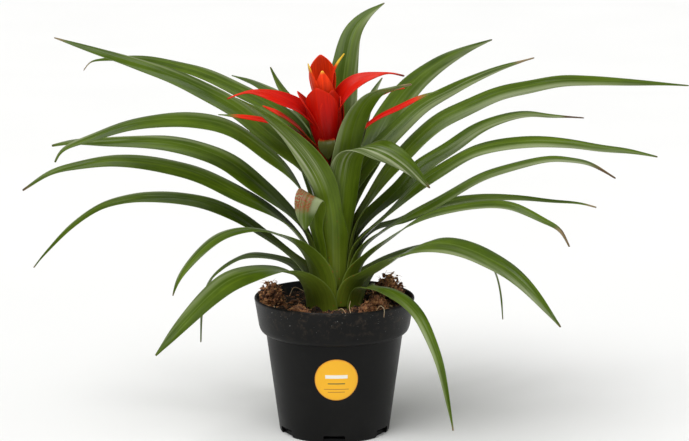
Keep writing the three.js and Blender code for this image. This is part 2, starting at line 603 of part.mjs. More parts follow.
// A round label bent to the pot's wall.
function stickerGeometry() {
  const rings = STICKER_RINGS;
  const sides = STICKER_SIDES;
  const rise = (z) => (z - WALL_FOOT_Z) / (WALL_TOP_Z - WALL_FOOT_Z);
  const wall = (z) => mix(WALL_FOOT_RADIUS, WALL_TOP_RADIUS, rise(z)) + GAP;
  const points = [];
  const faces = [];
  for (const lift of [0, STICKER_THICKNESS]) {
    for (let r = 0; r <= rings; r++) {
      for (let k = 0; k < (r ? sides : 1); k++) {
        const across = (STICKER_RADIUS * r * Math.cos((2 * Math.PI * k) / sides)) / rings;
        const z = STICKER_Z + (STICKER_RADIUS * r * Math.sin((2 * Math.PI * k) / sides)) / rings;
        const turn = THREE.MathUtils.radToDeg(across / wall(STICKER_Z));
        points.push(polar(wall(z) + lift, STICKER_AZIMUTH + turn, z));
      }
    }
  }
  const layer = points.length / 2;
  const at = (r, k, side) => side * layer + (r ? 1 + (r - 1) * sides + (k % sides) : 0);
  for (let k = 0; k < sides; k++) {
    for (const side of [0, 1]) {
      const face = (a, b, c) => faces.push(...(side ? [a, b, c] : [a, c, b]));
      face(at(0, 0, side), at(1, k, side), at(1, k + 1, side));
      for (let r = 1; r < rings; r++) {
        face(at(r, k, side), at(r + 1, k, side), at(r + 1, k + 1, side));
        face(at(r, k, side), at(r + 1, k + 1, side), at(r, k + 1, side));
      }
    }
    faces.push(at(rings, k, 0), at(rings, k + 1, 0), at(rings, k + 1, 1));
    faces.push(at(rings, k, 0), at(rings, k + 1, 1), at(rings, k, 1));
  }
  return new THREE.BufferGeometry().setFromPoints(points).setIndex(faces);
}

const TUFTS = [
  { name: "coir_tuft_left", azimuth: 188, radius: 50, spread: 9, height: 7, strands: 16, seed: 3 },
  { name: "coir_tuft_back_right", azimuth: 24, radius: 50, spread: 11, height: 8, strands: 18, seed: 5 },
  { name: "coir_tuft_front_right", azimuth: 312, radius: 45, spread: 12, height: 5, strands: 16, seed: 11 },
  { name: "coir_tuft_front_left", azimuth: 238, radius: 50, spread: 8, height: 4, strands: 10, seed: 17 },
];

function piece(name, geometry, color, roughness) {
  const mesh = new THREE.Mesh(geometry, new THREE.MeshStandardMaterial({ color, roughness, metalness: 0 }));
  mesh.name = name;
  return mesh;
}

const plant = new THREE.Group();
const soil = soilSolid();
plant.add(piece("pot", potGeometry(), 0x262626, 0.5));
plant.add(piece("sticker", stickerGeometry(), 0xf0a81c, 0.4));
plant.add(piece("soil", geometryOf(soil), 0x2a1a12, 0.95));
for (const tuft of TUFTS) plant.add(piece(tuft.name, tuftGeometry(tuft, soil), 0x8a4a26, 0.9));
plant.add(piece("stem", stemGeometry(), UNDER_GREEN, 0.6));
for (const leaf of LEAVES) plant.add(piece(leaf.name, leafGeometry(leaf), GREEN, 0.45));
const bloom = piece("bloom", bloomGeometry(), RED, 0.45);
bloom.position.set(...BLOOM_BASE);
bloom.rotation.y = BLOOM_LEAN;
plant.add(bloom);

export default plant;
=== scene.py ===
# %% [markdown]
# # A potted bromeliad
#
# The plant is an open rosette of long strap leaves round a red flower head, in a round black nursery
# pot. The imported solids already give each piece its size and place. This script puts a fine skin on
# them: bent and veined leaves, cupped bracts, crumbly soil, coconut fibre, and the satin plastic of the
# pot.

# %% Tools
import math
import random

import bmesh
import bpy
from mathutils import Matrix, Quaternion, Vector, noise


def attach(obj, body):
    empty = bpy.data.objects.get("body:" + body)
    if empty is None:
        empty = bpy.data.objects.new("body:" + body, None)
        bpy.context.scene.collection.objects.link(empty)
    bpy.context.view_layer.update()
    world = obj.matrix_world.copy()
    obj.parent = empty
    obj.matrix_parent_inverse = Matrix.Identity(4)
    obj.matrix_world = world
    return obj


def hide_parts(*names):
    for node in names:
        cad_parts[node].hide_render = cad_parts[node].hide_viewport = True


MM = 0.001

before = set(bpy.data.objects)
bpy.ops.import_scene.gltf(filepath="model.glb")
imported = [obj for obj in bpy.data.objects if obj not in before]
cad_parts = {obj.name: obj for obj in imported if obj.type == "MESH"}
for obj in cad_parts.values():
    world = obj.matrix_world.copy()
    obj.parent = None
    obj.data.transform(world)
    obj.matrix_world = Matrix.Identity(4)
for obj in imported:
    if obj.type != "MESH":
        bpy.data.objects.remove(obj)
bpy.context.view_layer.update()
print("solids:", len(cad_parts))

# %% [markdown]
# ## The camera
#
# The plant is looked at from the front, a little above its middle, with a long lens from about a metre
# and a half. A long lens keeps the leaves that point at us from looking swollen.

# %% Camera
CAMERA_PLACE = Vector((0.008, -1.464, 0.435))
CAMERA_PITCH = math.radians(10.3)  # below the horizon
LENS = 98.75


def new_object(name, data):
    made = bpy.data.objects.new(name, data)
    bpy.context.scene.collection.objects.link(made)
    return made


def make_camera():
    camera = new_object("camera", bpy.data.cameras.new("camera"))
    camera.data.lens = LENS
    camera.location = CAMERA_PLACE
    camera.rotation_euler = (math.pi / 2 - CAMERA_PITCH, 0, 0)
    bpy.context.scene.camera = camera


make_camera()
print("camera lens:", LENS)

# %% [markdown]
# ## Small helpers for shapes
#
# A leaf is a strip bent along its midrib, so the helpers are a smooth step, a mix, a place given by its
# distance from the plant's axis, and a smooth curve through a few such places.


# %% Shape helpers
def smooth(x):
    t = min(max(x, 0.0), 1.0)
    return t * t * (3 - 2 * t)


def mix(a, b, t):
    return a + (b - a) * t


def polar(radius, azimuth, height):
    angle = math.radians(azimuth)
    return Vector((radius * math.cos(angle), radius * math.sin(angle), height))


def from_axis(place):
    return math.hypot(place.x, place.y)


def curve_through(places, steps=12):
    """A smooth line through the places, evenly eased where they lie far apart."""
    ends = [2 * places[0] - places[1], *places, 2 * places[-1] - places[-2]]
    line = []
    for a, b, c, d in zip(ends, ends[1:], ends[2:], ends[3:]):
        ab = (b - a).length ** 0.5
        bc = (c - b).length ** 0.5
        cd = (d - c).length ** 0.5
        leaving = ((b - a) / ab - (c - a) / (ab + bc) + (c - b) / bc) * bc
        arriving = ((c - b) / bc - (d - b) / (bc + cd) + (d - c) / cd) * bc
        for k in range(steps):
            t = k / steps
            line.append(
                b * (2 * t**3 - 3 * t**2 + 1) + leaving * (t**3 - 2 * t**2 + t)
                + c * (3 * t**2 - 2 * t**3) + arriving * (t**3 - t**2)
            )
    return [*line, places[-1]]


def line_length(line):
    return sum((b - a).length for a, b in zip(line, line[1:]))


def even_places(line, count):
    """count + 1 places at even steps along a line, and the line's length."""
    reach = [0.0]
    for a, b in zip(line, line[1:]):
        reach.append(reach[-1] + (b - a).length)
    places = []
    k = 0
    for i in range(count + 1):
        goal = reach[-1] * i / count
        while k < len(line) - 2 and reach[k + 1] < goal:
            k += 1
        share = (goal - reach[k]) / (reach[k + 1] - reach[k])
        places.append(line[k].lerp(line[k + 1], share))
    return places, reach[-1]


def new_mesh(name, bm):
    mesh = bpy.data.meshes.new(name)
    bm.to_mesh(mesh)
    bm.free()
    return mesh


def new_piece(name, bm, materials):
    """Turns a bmesh into a smooth-shaded object that rides on the part."""
    mesh = new_mesh(name, bm)
    for polygon in mesh.polygons:
        polygon.use_smooth = True
    for material in materials:
        mesh.materials.append(material)
    piece = new_object(name, mesh)
    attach(piece, "root")
    return piece


def add_subdivision(piece):
    modifier = piece.modifiers.new("smooth", "SUBSURF")
    modifier.levels = 1
    modifier.render_levels = 1


def add_thickness(piece, thickness, under_material=0):
    modifier = piece.modifiers.new("thickness", "SOLIDIFY")
    modifier.thickness = thickness
    modifier.offset = 0
    modifier.material_offset = under_material


# %% [markdown]
# ## Small helpers for finishes
#
# A finish is a web of nodes. These helpers add one node each, so that a finish below reads as a short
# list: a pattern, a range of it, a mix of two colours, and the surface that they end in.


# %% Finish helpers
def feed(tree, socket, value):
    """Links an input to another node's output, or sets it to a value."""
    if isinstance(value, bpy.types.NodeSocket):
        tree.links.new(value, socket)
    else:
        socket.default_value = value


def add_node(tree, kind, **inputs):
    """A node whose inputs are given by name, with an underscore for a space."""
    node = tree.nodes.new(kind)
    for name, value in inputs.items():
        feed(tree, node.inputs[name.replace("_", " ")], value)
    return node


def attribute(tree, name, output="Vector"):
    node = tree.nodes.new("ShaderNodeAttribute")
    node.attribute_name = name
    return node.outputs[output]


def object_place(tree):
    return add_node(tree, "ShaderNodeTexCoord").outputs["Object"]


def split(tree, vector):
    node = add_node(tree, "ShaderNodeSeparateXYZ", Vector=vector)
    return node.outputs["X"], node.outputs["Y"], node.outputs["Z"]


def stretched(tree, vector, scale):
    node = add_node(tree, "ShaderNodeMapping", Vector=vector, Scale=scale)
    return node.outputs["Vector"]


def noise_of(tree, vector, scale=1.0, detail=2.0, roughness=0.5):
    settings = {"Vector": vector, "Scale": scale, "Detail": detail, "Roughness": roughness}
    return add_node(tree, "ShaderNodeTexNoise", **settings).outputs[0]


def math_of(tree, operation, a, b=0.0):
    node = tree.nodes.new("ShaderNodeMath")
    node.operation = operation
    for socket, value in zip(node.inputs, (a, b)):
        feed(tree, socket, value)
    return node.outputs[0]


def times(tree, a, b):
    return math_of(tree, "MULTIPLY", a, b)


def plus(tree, a, b):
    return math_of(tree, "ADD", a, b)


def band(tree, value, start, end, low=0.0, high=1.0):
    """low up to start, high from end on, and smooth between them."""
    ends = {"From_Min": start, "From_Max": end, "To_Min": low, "To_Max": high}
    node = add_node(tree, "ShaderNodeMapRange", Value=value, **ends)
    node.interpolation_type = "SMOOTHSTEP"
    return node.outputs[0]


def mixed(tree, share, a, b):
    """Colour a with a share of colour b over it."""
    node = tree.nodes.new("ShaderNodeMix")
    node.data_type = "RGBA"
    for index, value in ((0, share), (6, a), (7, b)):
        feed(tree, node.inputs[index], (*value, 1) if isinstance(value, tuple) else value)
    return node.outputs[2]


def over(tree, colour, new_colour, value, start, end, low=0.0, high=1.0):
    """The colour, with the new one over it where the value lies in a band."""
    return mixed(tree, band(tree, value, start, end, low, high), colour, new_colour)


def bumped(tree, height, distance, strength=1.0):
    node = add_node(tree, "ShaderNodeBump", Height=height, Distance=distance, Strength=strength)
    return node.outputs["Normal"]


def new_finish(name, **settings):
    """A material with its surface shader, whose constant settings are given by name."""
    material = bpy.data.materials.new(name)
    material.use_nodes = True
    tree = material.node_tree
    surface = tree.nodes["Principled BSDF"]
    for key, value in settings.items():
        surface.inputs[key.replace("_", " ")].default_value = value
    return material, tree, surface


def finish_with(tree, surface, colour, roughness, normal=None):
    for name, value in (("Base Color", colour), ("Roughness", roughness), ("Normal", normal)):
        if value is not None:
            tree.links.new(value, surface.inputs[name])


# %% [markdown]
# ## Leaf finish
#
# A bromeliad leaf is smooth, waxy and dark green, with fine straight veins from end to end, a shallow
# pale line down its middle, and a yellow-green base where the light doesn't reach. Its underside is
# paler. Past a third of its length, one half of each blade has a streaky grey bloom that is partly
# scales and partly painted sheen. The patterns follow the leaf, so they read two attributes that each
# blade carries: its own place map (across from -1 to 1, along from 0 to 1, and a number of its own),
# and the same place in metres. A third one holds what age did to that leaf, how much of its tip is dry
# and how red its fold is, and how much it has of grey stripes along its veins, which are partly scales
# and partly painted sheen.

# %% Leaf finish
LEAF_DARK = (0.036, 0.066, 0.002)
LEAF_MIDDLE = (0.070, 0.118, 0.002)
LEAF_LIGHT = (0.125, 0.190, 0.010)
LEAF_BASE = (0.150, 0.192, 0.016)
LEAF_PALE = (0.150, 0.210, 0.050)
DRY_TAN = (0.300, 0.230, 0.120)
DRY_BROWN = (0.080, 0.045, 0.018)
BLUSH_RED = (0.230, 0.035, 0.012)
SPECK_BROWN = (0.260, 0.100, 0.015)
LEAF_GREY = (0.400, 0.430, 0.270)


def leaf_finish(name, young, old, base, sheen):
    material, tree, surface = new_finish(
        name, IOR=1.4, Specular_IOR_Level=0.24, Sheen_Weight=sheen, Sheen_Roughness=0.4
    )
    metres = attribute(tree, "leaf_metres")
    across, along, _ = split(tree, attribute(tree, "leaf_place"))
    dry, blush, stripes_and_sheen = split(tree, attribute(tree, "leaf_age_and_light"))

    veins = noise_of(tree, stretched(tree, metres, (900, 9, 40)), detail=3)
    streaks = noise_of(tree, stretched(tree, metres, (260, 6, 60)), detail=2)
    clouds = noise_of(tree, stretched(tree, metres, (70, 22, 90)), detail=3, roughness=0.6)
    colour = mixed(tree, band(tree, clouds, 0.3, 0.7), young, old)
    colour = over(tree, colour, base, along, 0.02, 0.34, 0.9, 0.0)
    colour = over(tree, colour, LEAF_LIGHT, streaks, 0.45, 0.75, 0.0, 0.45)
    colour = over(tree, colour, LEAF_DARK, veins, 0.4, 0.62, 0.28, 0.0)

    off_middle = math_of(tree, "ABSOLUTE", across)
    colour = over(tree, colour, LEAF_PALE, off_middle, 0.015, 0.075, 0.28, 0.0)
    colour = over(tree, colour, LEAF_PALE, off_middle, 0.93, 1.0, 0.0, 0.45)

    specks = noise_of(tree, stretched(tree, metres, (520, 420, 70)), detail=1)
    near_base = band(tree, along, 0.05, 0.45, 1.0, 0.0)
    speck_share = times(tree, band(tree, specks, 0.72, 0.76), near_base)
    colour = mixed(tree, speck_share, colour, SPECK_BROWN)

    # Streaky grey bloom on one half of the blade past a third of its length: partly scales, partly painted
    # sheen.
    bloom_and_sheen_place = times(tree, band(tree, along, 0.3, 0.6), band(tree, across, -0.1, -0.85))
    bloom_and_sheen_share = times(tree, band(tree, streaks, 0.35, 0.65, 0.04, 0.38), bloom_and_sheen_place)
    colour = mixed(tree, bloom_and_sheen_share, colour, LEAF_GREY)

    fold = times(tree, band(tree, along, 0.70, 0.74), blush)
    grain = noise_of(tree, stretched(tree, metres, (900, 800, 30)), detail=3, roughness=0.7)
    red_place = times(tree, band(tree, along, 0.90, 0.84), band(tree, across, 0.5, 0.2))
    red_share = times(tree, times(tree, red_place, fold), band(tree, grain, 0.42, 0.54))
    grey_place = times(tree, band(tree, along, 0.92, 0.84), band(tree, across, 0.1, 0.6, 0.12, 0.5))
    colour = mixed(tree, times(tree, grey_place, fold), colour, LEAF_GREY)
    colour = mixed(tree, red_share, colour, BLUSH_RED)

    # Grey stripes along the veins on part of the blade: partly scales, partly painted sheen.
    stripes = noise_of(tree, stretched(tree, metres, (820, 5, 20)), detail=2)
    stripe_place = times(tree, band(tree, along, 0.40, 0.62), band(tree, across, 0.5, -0.2))
    stripe_and_sheen_share = times(tree, times(tree, band(tree, stripes, 0.45, 0.62), stripes_and_sheen), stripe_place)
    colour = mixed(tree, stripe_and_sheen_share, colour, LEAF_GREY)

    ragged = times(tree, clouds, 0.07)
    tip = plus(tree, along, math_of(tree, "SUBTRACT", dry, ragged))
    tip_share = band(tree, tip, 0.96, 1.0)
    dry_colour = mixed(tree, band(tree, streaks, 0.35, 0.6), DRY_TAN, DRY_BROWN)
    colour = mixed(tree, tip_share, colour, dry_colour)

    roughness = band(tree, plus(tree, clouds, tip_share), 0.35, 1.4, 0.31, 0.62)
    relief = plus(tree, veins, times(tree, streaks, 1.5))
    finish_with(tree, surface, colour, roughness, bumped(tree, relief, 0.00025, 0.6))
    return material


leaf_top = leaf_finish("leaf_top", LEAF_DARK, LEAF_MIDDLE, LEAF_BASE, 0.03)
leaf_under = leaf_finish("leaf_under", LEAF_MIDDLE, LEAF_LIGHT, LEAF_BASE, 0.06)
print("leaf finishes:", leaf_top.name, leaf_under.name)

# %% [markdown]
# ## Blades
#
# Leaves and bracts are both blades: a grid is bent along a midrib and across it. Near the stem a blade
# is a gutter that wraps round it, and further out it opens and its edges droop. `shape` says, for each
# share of the way along, its half width, the angle that it curves through across, and its turn about
# the midrib. The grid comes from one operator, and each of its points is then moved to its place on the
# blade.

# %% Blade
GROOVE_DEPTH = 0.45 * MM  # of the line down the middle
GROOVE_SHARE = 0.10  # of the half width
WAVE_HEIGHT = 1.1 * MM  # how far a blade strays from its smooth form
WAVE_LENGTH = 42 * MM
WAVE_START = 25 * MM  # distance from the axis where the waves begin
WAVE_EASE = 60 * MM
GROOVE_FADE = 6 * MM  # a narrower half blade has a shallower groove


def sway(place, u, own, reach):
    """How far a point of a blade strays from the smooth form: not at all near the stem."""
    at = Vector((place.x / WAVE_LENGTH + 1.7 * u, place.y / WAVE_LENGTH, place.z / WAVE_LENGTH + 9 * own))
    return WAVE_HEIGHT * noise.noise(at) * smooth((reach - WAVE_START) / WAVE_EASE)


def blade(line, rows, cells, shape, own, prefix, extra):
    """A single sheet, its upper face towards the plant's axis. Its attributes' names begin with prefix."""
    places, length = even_places(line, rows)
    frames = []
    for i, centre in enumerate(places):
        along = (places[min(i + 1, rows)] - places[max(i - 1, 0)]).normalized()
        half, curl, roll = shape(i / rows, centre, length)
        side = Vector((-centre.y, centre.x, 0))
        side = (side - along * side.dot(along)).normalized()
        side.rotate(Quaternion(along, roll))
        frames.append((centre, side, along.cross(side), half, curl or 1e-6))
    bm = bmesh.new()
    maps = bm.verts.layers.float_vector
    place_map = maps.new(prefix + "_place")
    metre_map = maps.new(prefix + "_metres")
    extra_maps = [(maps.new(f"{prefix}_{key}"), Vector(value)) for key, value in extra.items()]
    grid = bmesh.ops.create_grid(bm, x_segments=cells, y_segments=rows, size=1)
    for vert in grid["verts"]:
        u = -vert.co.x
        t = (vert.co.y + 1) / 2
        centre, side, inward, half, curl = frames[round(t * rows)]
        angle = u * curl
        groove = GROOVE_DEPTH * math.exp(-((u / GROOVE_SHARE) ** 2)) * smooth(half / GROOVE_FADE)
        lift = half * (1 - math.cos(angle)) / curl - groove + sway(centre, u, own, from_axis(centre))
        vert.co = centre + side * (half * math.sin(angle) / curl) + inward * lift
        vert[place_map] = Vector((u, t, own))
        vert[metre_map] = Vector((u * half, t * length, own))
        for layer, value in extra_maps:
            vert[layer] = value
    return bm


# %% [markdown]
# ## Leaves
#
# Each leaf rises from its seat on the short stem, lowest and outermost first, and arches out. Its run
# lists the midrib as (distance from the axis, height, turn from the azimuth of its base), in
# millimetres and degrees, the same as its solid follows, so that the fine leaf lies where the solid is.
# A turn holds until the next one. Thickness and roundness come from two modifiers: Solidify gives the
# skin its two faces and a rim, and Subdivision Surface rounds them.

# %% Leaf places
# stripes_and_sheen: how much a leaf has of grey stripes that are partly scales and partly painted sheen.
LEAVES = {
    "leaf_left_1": dict(layer=0, azimuth=228, half=12.5, run=[
        (27, 117, 1), (41, 130, 2), (70, 140), (98, 143), (120, 141), (141, 133), (173, 115), (198, 98)]),
    "leaf_right_3": dict(layer=0, azimuth=52, half=6.5, taper=2.2, run=[
        (31, 113), (50, 123), (80, 130, -3), (119, 131, -4), (159, 124), (187, 113), (207, 98),
        (217, 76), (221, 50)]),
    "leaf_right_1": dict(layer=1, azimuth=332, half=6.5, taper=2.4, wrap=0.6, dry=0.03, run=[
        (25, 113, -4), (37, 121, -22), (60, 126, -34), (85, 130, -35), (108, 129), (124, 126),
        (139, 120), (154, 108), (168, 92), (178, 72), (188, 47)]),
    "leaf_left_2": dict(layer=1, azimuth=142, half=7.5, run=[
        (27, 118), (36, 126), (52, 130), (75, 131), (94, 129), (112, 121), (127, 110), (137, 97),
        (143, 75), (144, 48)]),
    "leaf_right_2": dict(layer=2, azimuth=323, half=12.5, run=[
        (25, 122), (41, 132, -6), (58, 142, -10), (75, 152, -11), (107, 166), (128, 169), (149, 168),
        (169, 164), (189, 158), (208, 148), (238, 125)]),
    "leaf_left_4": dict(layer=2, azimuth=167, half=8, run=[
        (25, 128), (37, 140), (57, 154, -2), (78, 168), (103, 178), (129, 182), (154, 182), (171, 180),
        (198, 172), (224, 154), (243, 135), (258, 117)]),
    "leaf_left_3": dict(layer=3, azimuth=237, half=11, wrap=0.72, roll=(0.28, 0.62, 24), run=[
        (21, 128), (27, 142, -8), (37, 154, -16), (57, 165, -20), (76, 171), (89, 172), (107, 169),
        (121, 162), (134, 152), (145, 140), (150, 128)]),
    "leaf_right_4": dict(layer=3, azimuth=330, half=8.5, taper=2.4, dry=0.08, run=[
        (22, 133), (34, 146, -2), (53, 160, -5), (72, 174, -6), (90, 184), (108, 190), (134, 196),
        (152, 198), (165, 197), (190, 189), (203, 184), (211, 172)]),
    "leaf_back_1": dict(layer=3, azimuth=90, half=12, run=[
        (21, 140), (32, 158), (55, 178), (85, 193, -4), (120, 202), (155, 200), (190, 188), (212, 170)]),
    "leaf_right_6": dict(layer=4, azimuth=345, half=9.5, taper=2.4, dry=0.08, run=[
        (21, 143), (31, 155, -6), (47, 167, -9), (64, 178), (81, 188), (97, 198), (121, 212),
        (145, 221), (176, 229), (192, 229), (207, 227), (227, 217)]),
    "leaf_left_5": dict(layer=4, azimuth=189, half=11, dry=0.03, run=[
        (21, 144), (31, 160), (51, 178, -3), (74, 192), (105, 208), (128, 215), (151, 219), (174, 220),
        (197, 217), (220, 211), (242, 197)]),
    "leaf_right_5": dict(layer=5, azimuth=20, half=7, taper=2, dry=0.06, run=[
        (17.6, 138), (21.5, 150), (34, 161, -3), (54, 166, -6), (70, 173), (87, 179), (120, 183),
        (154, 181), (180, 177), (206, 174), (220, 170)]),
    "leaf_left_6": dict(layer=5, azimuth=183, half=12.5, run=[
        (21, 155), (37, 176, -5), (59, 197, -7), (82, 215), (106, 225), (130, 230), (161, 231),
        (185, 230), (209, 229), (224, 226)]),
    "leaf_front_folded": dict(layer=6, azimuth=234, half=12.2, taper=8, wrap=0.3, lit=0,
        roll=(0.58, 0.78, -30), sheath=(50, 82), dry=0, red=1, stripes_and_sheen=0.15, run=[
        (17.4, 146), (23, 165, -3), (30, 186, 4), (36, 196, 8), (42, 194), (45.5, 183, 7), (45.5, 168)]),
    "leaf_right_7": dict(layer=6, azimuth=355, half=9.5, run=[
        (17, 148), (27, 160, -4), (41, 173, -7), (68, 201), (84, 213), (107, 227), (122, 232),
        (138, 235), (161, 237), (184, 236), (206, 233), (229, 231), (250, 227)]),
    "leaf_back_2": dict(layer=6, azimuth=106, half=12, run=[
        (18.5, 155), (31, 180), (60, 203), (95, 222), (135, 234), (175, 237), (210, 231), (238, 217)]),
    "leaf_front_left": dict(layer=7, azimuth=267, half=12.5, wrap=0.78, waist=0.72,
        lit=-0.7, sheath=(34, 62), dry=0, stripes_and_sheen=0.75, run=[
        (15.7, 146), (20, 165), (24, 182, -3), (28, 202, -12), (34, 222, -29), (44, 241, -47),
        (60, 257, -58), (81, 270, -64)]),
    "leaf_right_8": dict(layer=7, azimuth=30, half=10, taper=2.2, dry=0.1, stripes_and_sheen=0.2, run=[
        (16.5, 152), (29, 167), (45, 180, -2), (59, 191, -3), (77, 207), (105, 221), (133, 236),
        (161, 243), (180, 244), (200, 241), (234, 237)]),
    "leaf_left_7": dict(layer=8, azimuth=198, half=12, dry=0.02, run=[
        (14.5, 155), (18.5, 172), (25, 189), (38, 211), (56, 228, -2), (76, 243), (92, 250),
        (115, 254), (138, 254), (162, 251), (185, 244), (213, 233), (218, 224)]),
    "leaf_right_9": dict(layer=8, azimuth=8, half=10.5, run=[
        (15, 155), (19.2, 170), (27, 183, -2), (40, 205, -4), (52, 220, -5), (67, 236), (83, 249),
        (106, 260), (130, 270), (153, 275), (177, 279), (200, 279), (224, 278), (256, 276), (279, 274)]),
    "leaf_front_bent": dict(layer=9, azimuth=290, half=15, taper=3.2, lit=0,
        roll=(0.58, 0.82, 60), dry=0.03, stripes_and_sheen=0.55, run=[
        (12.9, 150), (15.3, 169), (19.5, 188), (23.5, 208, 2), (29, 224, 5), (38, 232, 13),
        (53, 231, 24), (70, 221, 31), (89, 203, 35)]),
    "leaf_left_9": dict(layer=9, azimuth=168, half=11.5, dry=0.04, run=[
        (14.2, 178), (19.5, 200), (29, 217, -2), (54, 237, -4), (80, 255, -5), (113, 271), (139, 281),
        (175, 291), (202, 298), (238, 307)]),
    "leaf_right_11": dict(layer=9, azimuth=56, half=13, run=[
        (13.5, 160), (17.5, 179), (29, 196), (45, 211, 1), (60, 226), (83, 246), (114, 265),
        (163, 281), (210, 289), (255, 293)]),
    "leaf_right_10": dict(layer=10, azimuth=52, half=10.5, taper=2.2, dry=0.09, stripes_and_sheen=0.25, run=[
        (11.8, 160), (14, 178), (19, 192, -3), (30, 207, -8), (46, 224, -13), (67, 240, -14),
        (88, 253), (119, 264), (141, 271), (175, 279), (214, 285)]),
    "leaf_left_8": dict(layer=10, azimuth=155, half=9, dry=0.05, run=[
        (12.5, 188), (20, 215, -6), (37, 238, -13), (65, 255, -14), (96, 265), (140, 277), (186, 283),
        (220, 284), (255, 281), (274, 277), (282, 269)]),
    "leaf_front_right": dict(layer=10, azimuth=300, half=15, lit=-0.3, dry=0.06, run=[
        (12.8, 178), (14, 192), (17, 208, 4), (21, 230, 6), (26, 248, 7), (34, 262, 8), (48, 274, 9),
        (70, 280, 10), (90, 284)]),
    "leaf_left_10": dict(layer=11, azimuth=120, half=8, run=[
        (11.2, 190), (16.2, 215, -1), (30, 240, -4), (52, 250, -6), (90, 254), (140, 259), (185, 262),
        (226, 262)]),
    "leaf_right_12": dict(layer=11, azimuth=10, half=9, run=[
        (11, 190), (13.5, 206), (19, 223, 8), (27, 248, 19), (36, 266, 25), (47, 279, 26)]),
    "leaf_back_tall": dict(layer=12, azimuth=78, half=14, taper=4, run=[
        (9.5, 190), (11.6, 206), (16, 225), (22, 245), (29, 265), (37, 290, -2), (50, 314, -5),
        (61, 327, -13), (72, 336, -22)]),
    "leaf_back_short": dict(layer=13, azimuth=138, half=9, taper=2.8, run=[
        (8.6, 200), (11, 214), (14.4, 227), (18.3, 237), (30, 250, 1), (47, 262, 2), (58, 273),
        (67, 286)]),
}

USUAL_DRY = 0.015

# %% Leaves
CROWN_RADIUS = 22 * MM
CROWN_HEIGHT = 97 * MM
LAYER_STEP = 1.12 * MM
LAYER_RISE = 2.8 * MM
SEAT_LENGTH = 7 * MM
SEAT_LEAN = 0.3 * MM
LEAF_THICKNESS = 0.7 * MM
LEAF_TIP = 0.5 * MM  # least half width
LEAF_ROW = 6.5 * MM  # length of a face along a leaf
LEAF_CELLS = 12
TAPER = 3.2  # a higher one keeps a leaf wide for longer
TIP_ROUND = 0.9
SHEATH_ANGLE = 0.9  # half the angle that a leaf's base wraps round the stem
SHEATH_LENGTH = 48 * MM
GUTTER_RADIUS = 22 * MM
GUTTER_START = 45 * MM
GUTTER_END = 125 * MM
GUTTER_NEAR = 14 * MM
GUTTER_CLEAR = 40 * MM
RIDGE = -0.35
LIGHT_TURN = 0.55


def leaf_line(leaf):
    radius = CROWN_RADIUS - leaf["layer"] * LAYER_STEP
    height = CROWN_HEIGHT + leaf["layer"] * LAYER_RISE
    azimuth = leaf["azimuth"]
    places = [polar(radius, azimuth, height), polar(radius + SEAT_LEAN, azimuth, height + SEAT_LENGTH)]
    turn = 0
    for radius, height, *new_turn in leaf["run"]:
        turn = new_turn[0] if new_turn else turn
        places.append(polar(radius * MM, azimuth + turn, height * MM))
    return curve_through(places)


def leaf_shape(leaf, tip):
    half_width = leaf["half"] * MM
    to_light = leaf.get("lit", 1) * LIGHT_TURN * tip.x / from_axis(tip)
    roll_start, roll_end, roll_by = leaf.get("roll", (0, 1, 0))
    sheath_start, sheath_end = (reach * MM for reach in leaf.get("sheath", (0, SHEATH_LENGTH / MM)))

    def shape(t, centre, length):
        reach = t * length
        near = from_axis(centre)
        waist = mix(leaf.get("waist", 1), 1, smooth((reach - sheath_end) / SHEATH_LENGTH))
        outline = max(waist * half_width * (1 - t ** leaf.get("taper", TAPER)) ** TIP_ROUND, LEAF_TIP)
        sheath = leaf.get("wrap", SHEATH_ANGLE) * min(near, CROWN_RADIUS)
        half = min(mix(sheath, outline, smooth((reach - sheath_start) / (sheath_end - sheath_start))), near)
        flat = min(
            smooth((reach - GUTTER_START) / (GUTTER_END - GUTTER_START)),
            smooth((near - GUTTER_NEAR) / (GUTTER_CLEAR - GUTTER_NEAR)),
        )
        curl = mix(half / min(near, GUTTER_RADIUS), RIDGE, flat)
        roll = to_light * flat + math.radians(roll_by) * smooth((t - roll_start) / (roll_end - roll_start))
        return half, curl, roll

    return shape


def make_leaf(name, leaf, own):
    line = leaf_line(leaf)
    rows = round(line_length(line) / LEAF_ROW)
    age_and_light = {"age_and_light": (leaf.get("dry", USUAL_DRY), leaf.get("red", 0), leaf.get("stripes_and_sheen", 0))}
    bm = blade(line, rows, LEAF_CELLS, leaf_shape(leaf, line[-1]), own, "leaf", age_and_light)
    piece = new_piece(name + "_blade", bm, [leaf_top, leaf_under])
    add_thickness(piece, LEAF_THICKNESS, 1)
    add_subdivision(piece)
    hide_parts(name)


for number, (leaf_name, leaf_values) in enumerate(LEAVES.items()):
    make_leaf(leaf_name, leaf_values, number / len(LEAVES))
print("leaves:", len(LEAVES))

# %% [markdown]
# ## Flower finish
#
# The flower head is made of bracts: small leaves that have turned red. Painted shade makes them deep red
# low in the cup, painted light makes them brighter towards their ends, and some end in green, yellow or
# a dark dry point. They are waxy and have finer veins than the leaves. Each bract carries two colours
# of its own: how far its tip has changed, and into what. It also carries how mottled it is and its own
# share of painted light, which is below nought for painted shade on the feet.

# %% Flower finish
BRACT_DEEP = (0.280, 0.0010, 0.0002)
BRACT_RED = (0.560, 0.004, 0.0005)
BRACT_BRIGHT = (0.850, 0.048, 0.006)
BRACT_MOTTLE = (0.075, 0.040, 0.006)
BRACT_FOOT = (0.130, 0.016, 0.006)
TIP_GREEN = (0.110, 0.160, 0.025)
TIP_OLIVE = (0.055, 0.062, 0.010)
TIP_YELLOW = (0.760, 0.480, 0.040)
TIP_DARK = (0.120, 0.020, 0.010)
TIP_RED = (0.700, 0.030, 0.010)


